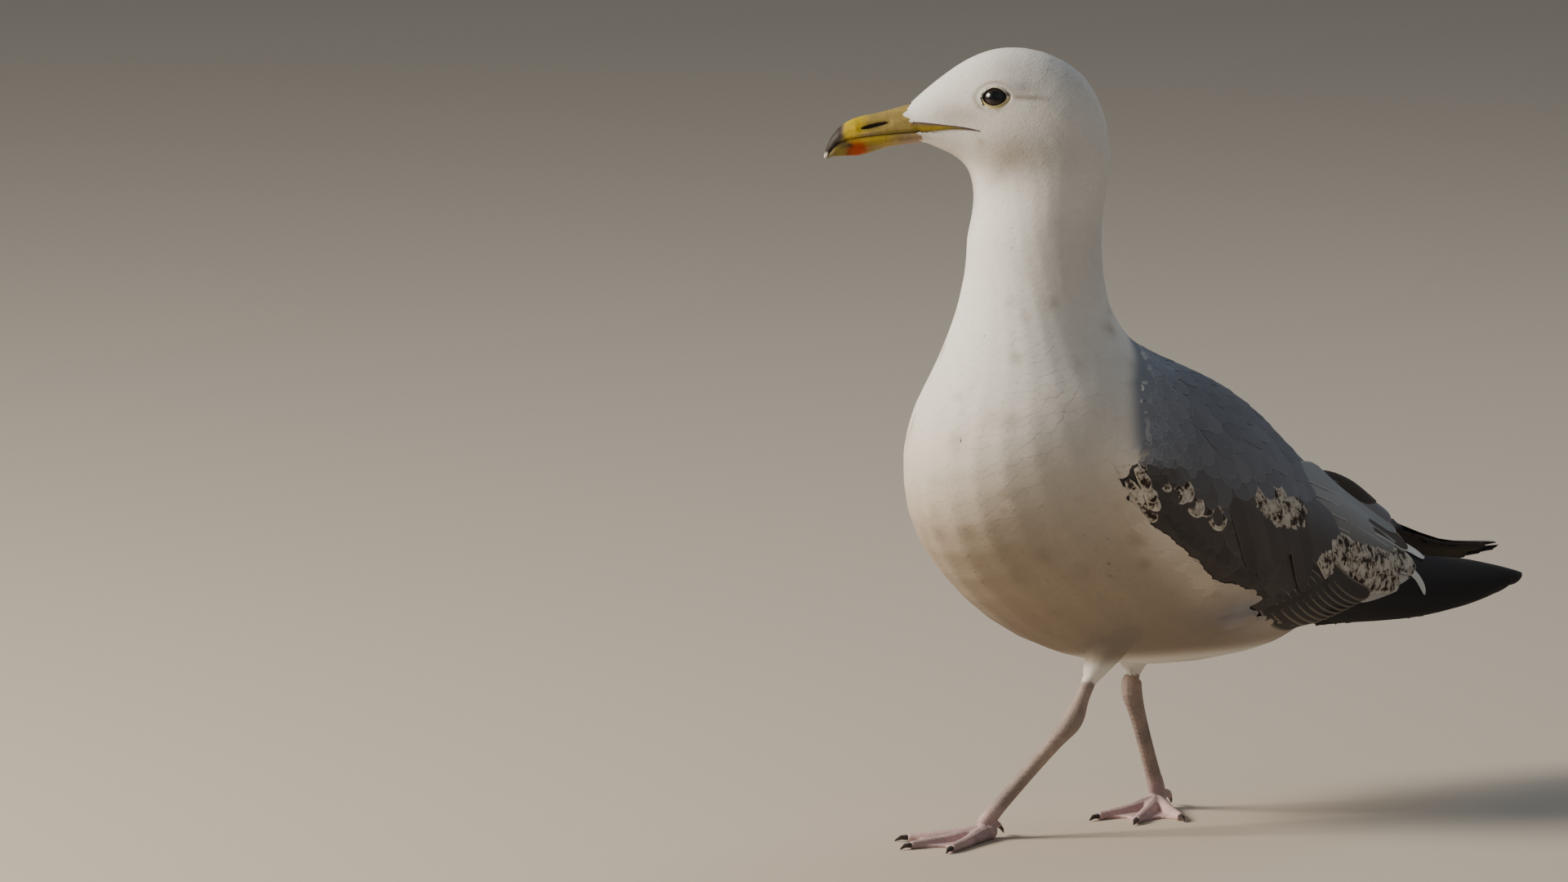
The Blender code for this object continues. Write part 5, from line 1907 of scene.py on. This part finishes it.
def paint_lower(shade, f, z):
    """Markings of the bill's lower half."""
    shade(YELLOW, 0.75 * smooth(z, 353.0, 357.5) * smooth(f, 66.0, 80.0))
    shade(PINKISH, (1 - smooth(f, 58.0, 80.0)) * (1 - 0.5 * smooth(z, 356.0, 360.0)))
    shade(RED, oval(f, z, (91.6, 352.6), (5.8, 4.8), 1.8))
    shade(RED * 0.45, 0.8 * oval(f, z, (96.4, 350.6), (2.0, 2.4)))
    shade(OLIVE, smooth(f, 95.8, 98.5) * 0.8)
    shade(TIP_GREY * 0.8, 0.7 * smooth(f, 95.0, 99.0) * smooth(z, 352.0, 355.5))
    shade(TIP_BLACK, 0.85 * oval(f, z, (95.8, 355.2), (2.1, 1.7)))
    shade(TIP_PALE * 0.6, smooth(f, 102.5, 104.5) * 0.35)


def horn_material():
    """Worn horn with fine growth lines along the bill."""
    n = Nodes("horn", 0.52, Specular_IOR_Level=0.14)
    spot = n.spot()
    fine = n.noise(spot, 900.0, 3.0, 0.6)
    broad = n.noise(spot, 130.0, 3.0, 0.55)
    tone = n.ramp(broad, (0.30, (0.80, 0.77, 0.74)), (0.70, (1.06, 1.05, 1.02)))
    tint = n.times(n.attribute("tint", "Color"), tone)
    speck = n.ramp(fine, (0.30, (0.78, 0.76, 0.76)), (0.55, (1.0, 1.0, 1.0)))
    tint = n.times(tint, speck)
    n.bump(n.math('MULTIPLY_ADD', fine, 0.4, broad), 0.25, 0.0004)
    return n.colour(tint)


def bill_piece(name, node, lower, material):
    """One half of the bill."""
    co, quads = voxel_shell((node,), BILL_VOXEL, 2)
    normal = vertex_normals(co, split_quads(quads))
    f, l, z = head_frame(co)
    if lower:
        # close the bill: the lower half meets the upper one
        co[:, 2] += MOUTH_GAP * smooth(normal[:, 2], 0.1, 0.7) * smooth(f, 56.0, 60.0)
    else:
        far, width = nostril_slit(f, z)
        groove = (1 - smooth(far, width * 0.5, width * 1.1)) * NOSTRIL_DEPTH
        groove = groove + 0.35 * (1 - smooth(far, 1.0, 3.2))
        co = co - normal * (groove * (np.abs(l) > 2.0))[:, None]
    mesh = mesh_from(name, co, [quads])
    uv = np.stack([(f - 50) / 70 * 0.45 + 0.5 * (l > 0), (z - 340) / 50], 1)
    # the colours follow the shaped surface
    f, l, z = head_frame(co)
    paint = Paint(HORN, len(co))
    if lower:
        paint_lower(paint.shade, f, z)
    else:
        paint_upper(paint.shade, f, l, z)
    add_attributes(mesh, {"tint": np.clip(paint.colour, 0, 1)})
    add_bake_map(mesh, uv)
    piece(mesh, material, (node,))


horn = horn_material()
bill_piece("bill_above", "bill_upper", False, horn)
bill_piece("bill_below", "bill_lower", True, horn)

# fleshy gape: from the bill back under the feathers: ahead, height, half height
GAPE = ((70.0, 364.0, 3.1), (64.0, 364.3, 3.0), (58.0, 364.4, 2.5), (52.0, 364.6, 1.8),
        (46.0, 364.8, 1.1), (40.0, 364.6, 0.7), (35.0, 364.1, 0.45), (31.5, 363.4, 0.25))
GAPE_PROUD = 0.45
GAPE_RINGS = 40
GAPE_SPOKES = 12


def averaged_tube(grid):
    """Mean of each ring of a tube and the rings beside it."""
    padded = np.concatenate([grid[:1], grid, grid[-1:]])
    return (padded[:-2] + 2 * grid + padded[2:]) / 4


def gape(sign, side, material):
    """Bare strip at the corner of the mouth, laid on the side of the head."""
    table = np.array(GAPE)
    t = np.linspace(0, len(table) - 1, GAPE_RINGS)
    f, z, half = (np.interp(t, np.arange(len(table)), column) for column in table.T)
    around = GAPE_SPOKES
    angle = np.linspace(0, 2 * math.pi, around, endpoint=False)
    verts = np.empty((len(t), around, 3))
    for row in range(len(t)):
        for column in range(around):
            high = z[row] + half[row] * math.sin(angle[column])
            start = head_point(f[row], sign * 60.0, high)
            hit = bill_and_face.ray_cast(start.tolist(), (-LEFT * sign).tolist())[0]
            if hit is None:
                inner = head_point(f[row], sign * 9.0, high)
                hit = bill_and_face.find_nearest(inner.tolist())[0]
            proud = GAPE_PROUD * math.cos(angle[column]) * (1 - 0.5 * row / len(t))
            proud -= 0.7 * (1 - float(smooth(row, 0.0, 9.0)))
            verts[row, column] = np.array(hit) + LEFT * sign * (proud - 0.05)
    verts = averaged_tube(verts)
    index = np.arange(len(t) * around).reshape(len(t), around)
    turned = np.roll(index, -1, axis=1)
    quads = np.stack([index[:-1].ravel(), turned[:-1].ravel(), turned[1:].ravel(),
                      index[1:].ravel()], 1)
    ends = [index[0][::-1], index[-1]]
    if sign > 0:
        quads = quads[:, ::-1]
        ends = [e[::-1] for e in ends]
    flat = verts.reshape(-1, 3)
    mesh = mesh_from("gape_" + side, flat, [quads, np.array(ends)])
    share = np.tile(np.sin(angle), len(t))
    back = np.repeat(np.linspace(0, 1, len(t)), around)
    paint = Paint(OLIVE * 0.95, len(flat))
    paint.shade(YELLOW * 0.6, blot((back - 0.35) / 0.3) * 0.6)
    paint.shade(GAPE_PURPLE, smooth(share, 0.30, 0.75) + smooth(back, 0.50, 0.85) * 0.9)
    add_attributes(mesh, {"tint": paint.colour})
    add_bake_map(mesh, np.stack([back * 0.4 + 0.5 * (sign > 0), share * 0.2 + 0.5], 1))
    piece(mesh, material)


bill_and_face = tree_of("bill_upper", "bill_lower", "head")
for sign, side in SIDES:
    gape(sign, side, horn)


# ------------------------------------------------------------------ claws
def claw_material():
    """Dark horn, paler towards the root, with fine lengthwise wear."""
    n = Nodes("claw", 0.34, Specular_IOR_Level=0.45)
    spot = n.spot()
    worn = n.noise(spot, 480.0, 3.0, 0.6)
    broad = n.noise(spot, 90.0, 2.0, 0.5)
    tint = n.ramp(worn, (0.35, (0.018, 0.014, 0.012)), (0.70, (0.060, 0.046, 0.038)))
    tone = n.ramp(broad, (0.35, (0.75, 0.72, 0.70)), (0.65, (1.15, 1.10, 1.05)))
    n.bump(worn, 0.3, 0.0002)
    return n.colour(n.times(tint, tone))


claw_look = claw_material()
for name, item in nodes.items():
    if name.startswith("claw_"):
        for slot in item.material_slots:
            slot.material = claw_look


# ------------------------------------------------------------------ floor, light, camera
VIEW_AZIMUTH = math.radians(49.2)
VIEW_HEIGHT = math.radians(7.3)
VIEW_DISTANCE = 8.0                 # metres
PIXEL_SIZE = 0.00042                # metres on the bird for each pixel across
FRAME_WIDTH = 1920
SENSOR = 36.0
VIEW_CENTRE = (-0.12615, -0.10805, 0.19434)      # body frame, metres

# lamps: energy, colour, size, and metres to the camera's right, towards it and up
LAMPS = {"key": (190.0, (1.0, 0.91, 0.78), 1.1, (-2.8, 0.7, 1.7)),
         "fill": (3.0, (1.0, 0.95, 0.90), 2.5, (1.2, 2.2, 1.4)),
         "rim": (14.0, (0.76, 0.87, 1.0), 1.5, (0.8, -1.8, 2.2))}
LAMP_TARGET = (0.0, 0.0, 0.2)
FLOOR_COLOUR = (0.50, 0.43, 0.35, 1.0)
FLOOR_SIZE = 30.0
SKY_COLOUR = (0.80, 0.90, 1.0, 1.0)
SKY_STRENGTH = 0.20


def stage():
    """Matt floor of dry sand's colour."""
    floor_mat = Nodes("floor", 0.8)
    floor_mat.shader.inputs["Base Color"].default_value = FLOOR_COLOUR
    bpy.ops.mesh.primitive_plane_add(size=FLOOR_SIZE, location=(0, 0, 0))
    floor = bpy.context.object
    floor.name = "floor"
    floor.data.materials.append(floor_mat.material)


def lamp(name, energy, colour, size, offset):
    """Area lamp that looks at the bird, placed as seen from the camera."""
    right = Vector((math.cos(VIEW_AZIMUTH), math.sin(VIEW_AZIMUTH), 0.0))
    nearer = Vector((math.sin(VIEW_AZIMUTH), -math.cos(VIEW_AZIMUTH), 0.0))
    place = right * offset[0] + nearer * offset[1] + Vector((0, 0, 1)) * offset[2]
    data = bpy.data.lights.new(name, 'AREA')
    data.energy = energy
    data.color = colour
    data.size = size
    item = bpy.data.objects.new(name, data)
    item.location = place
    item.rotation_euler = (Vector(LAMP_TARGET) - place).to_track_quat('-Z', 'Y').to_euler()
    bpy.context.scene.collection.objects.link(item)


def sky():
    """Weak blue light from all round."""
    world = bpy.data.worlds.new("sky")
    bpy.context.scene.world = world
    world.use_nodes = True
    background = world.node_tree.nodes["Background"]
    background.inputs[0].default_value = SKY_COLOUR
    background.inputs[1].default_value = SKY_STRENGTH


def camera():
    """Long lens, level with the bird, from ahead on its left."""
    data = bpy.data.cameras.new("camera")
    data.sensor_width = SENSOR
    data.lens = SENSOR * VIEW_DISTANCE / (PIXEL_SIZE * FRAME_WIDTH)
    data.clip_end = 100.0
    back = Vector((math.sin(VIEW_AZIMUTH) * math.cos(VIEW_HEIGHT),
                   -math.cos(VIEW_AZIMUTH) * math.cos(VIEW_HEIGHT), math.sin(VIEW_HEIGHT)))
    target = Vector(VIEW_CENTRE) - Vector(SHIFT) * MM
    item = bpy.data.objects.new("camera", data)
    item.location = target + back * VIEW_DISTANCE
    item.rotation_euler = back.to_track_quat('Z', 'Y').to_euler()
    bpy.context.scene.collection.objects.link(item)
    bpy.context.scene.camera = item


stage()
for name, settings in LAMPS.items():
    lamp(name, *settings)
sky()
camera()
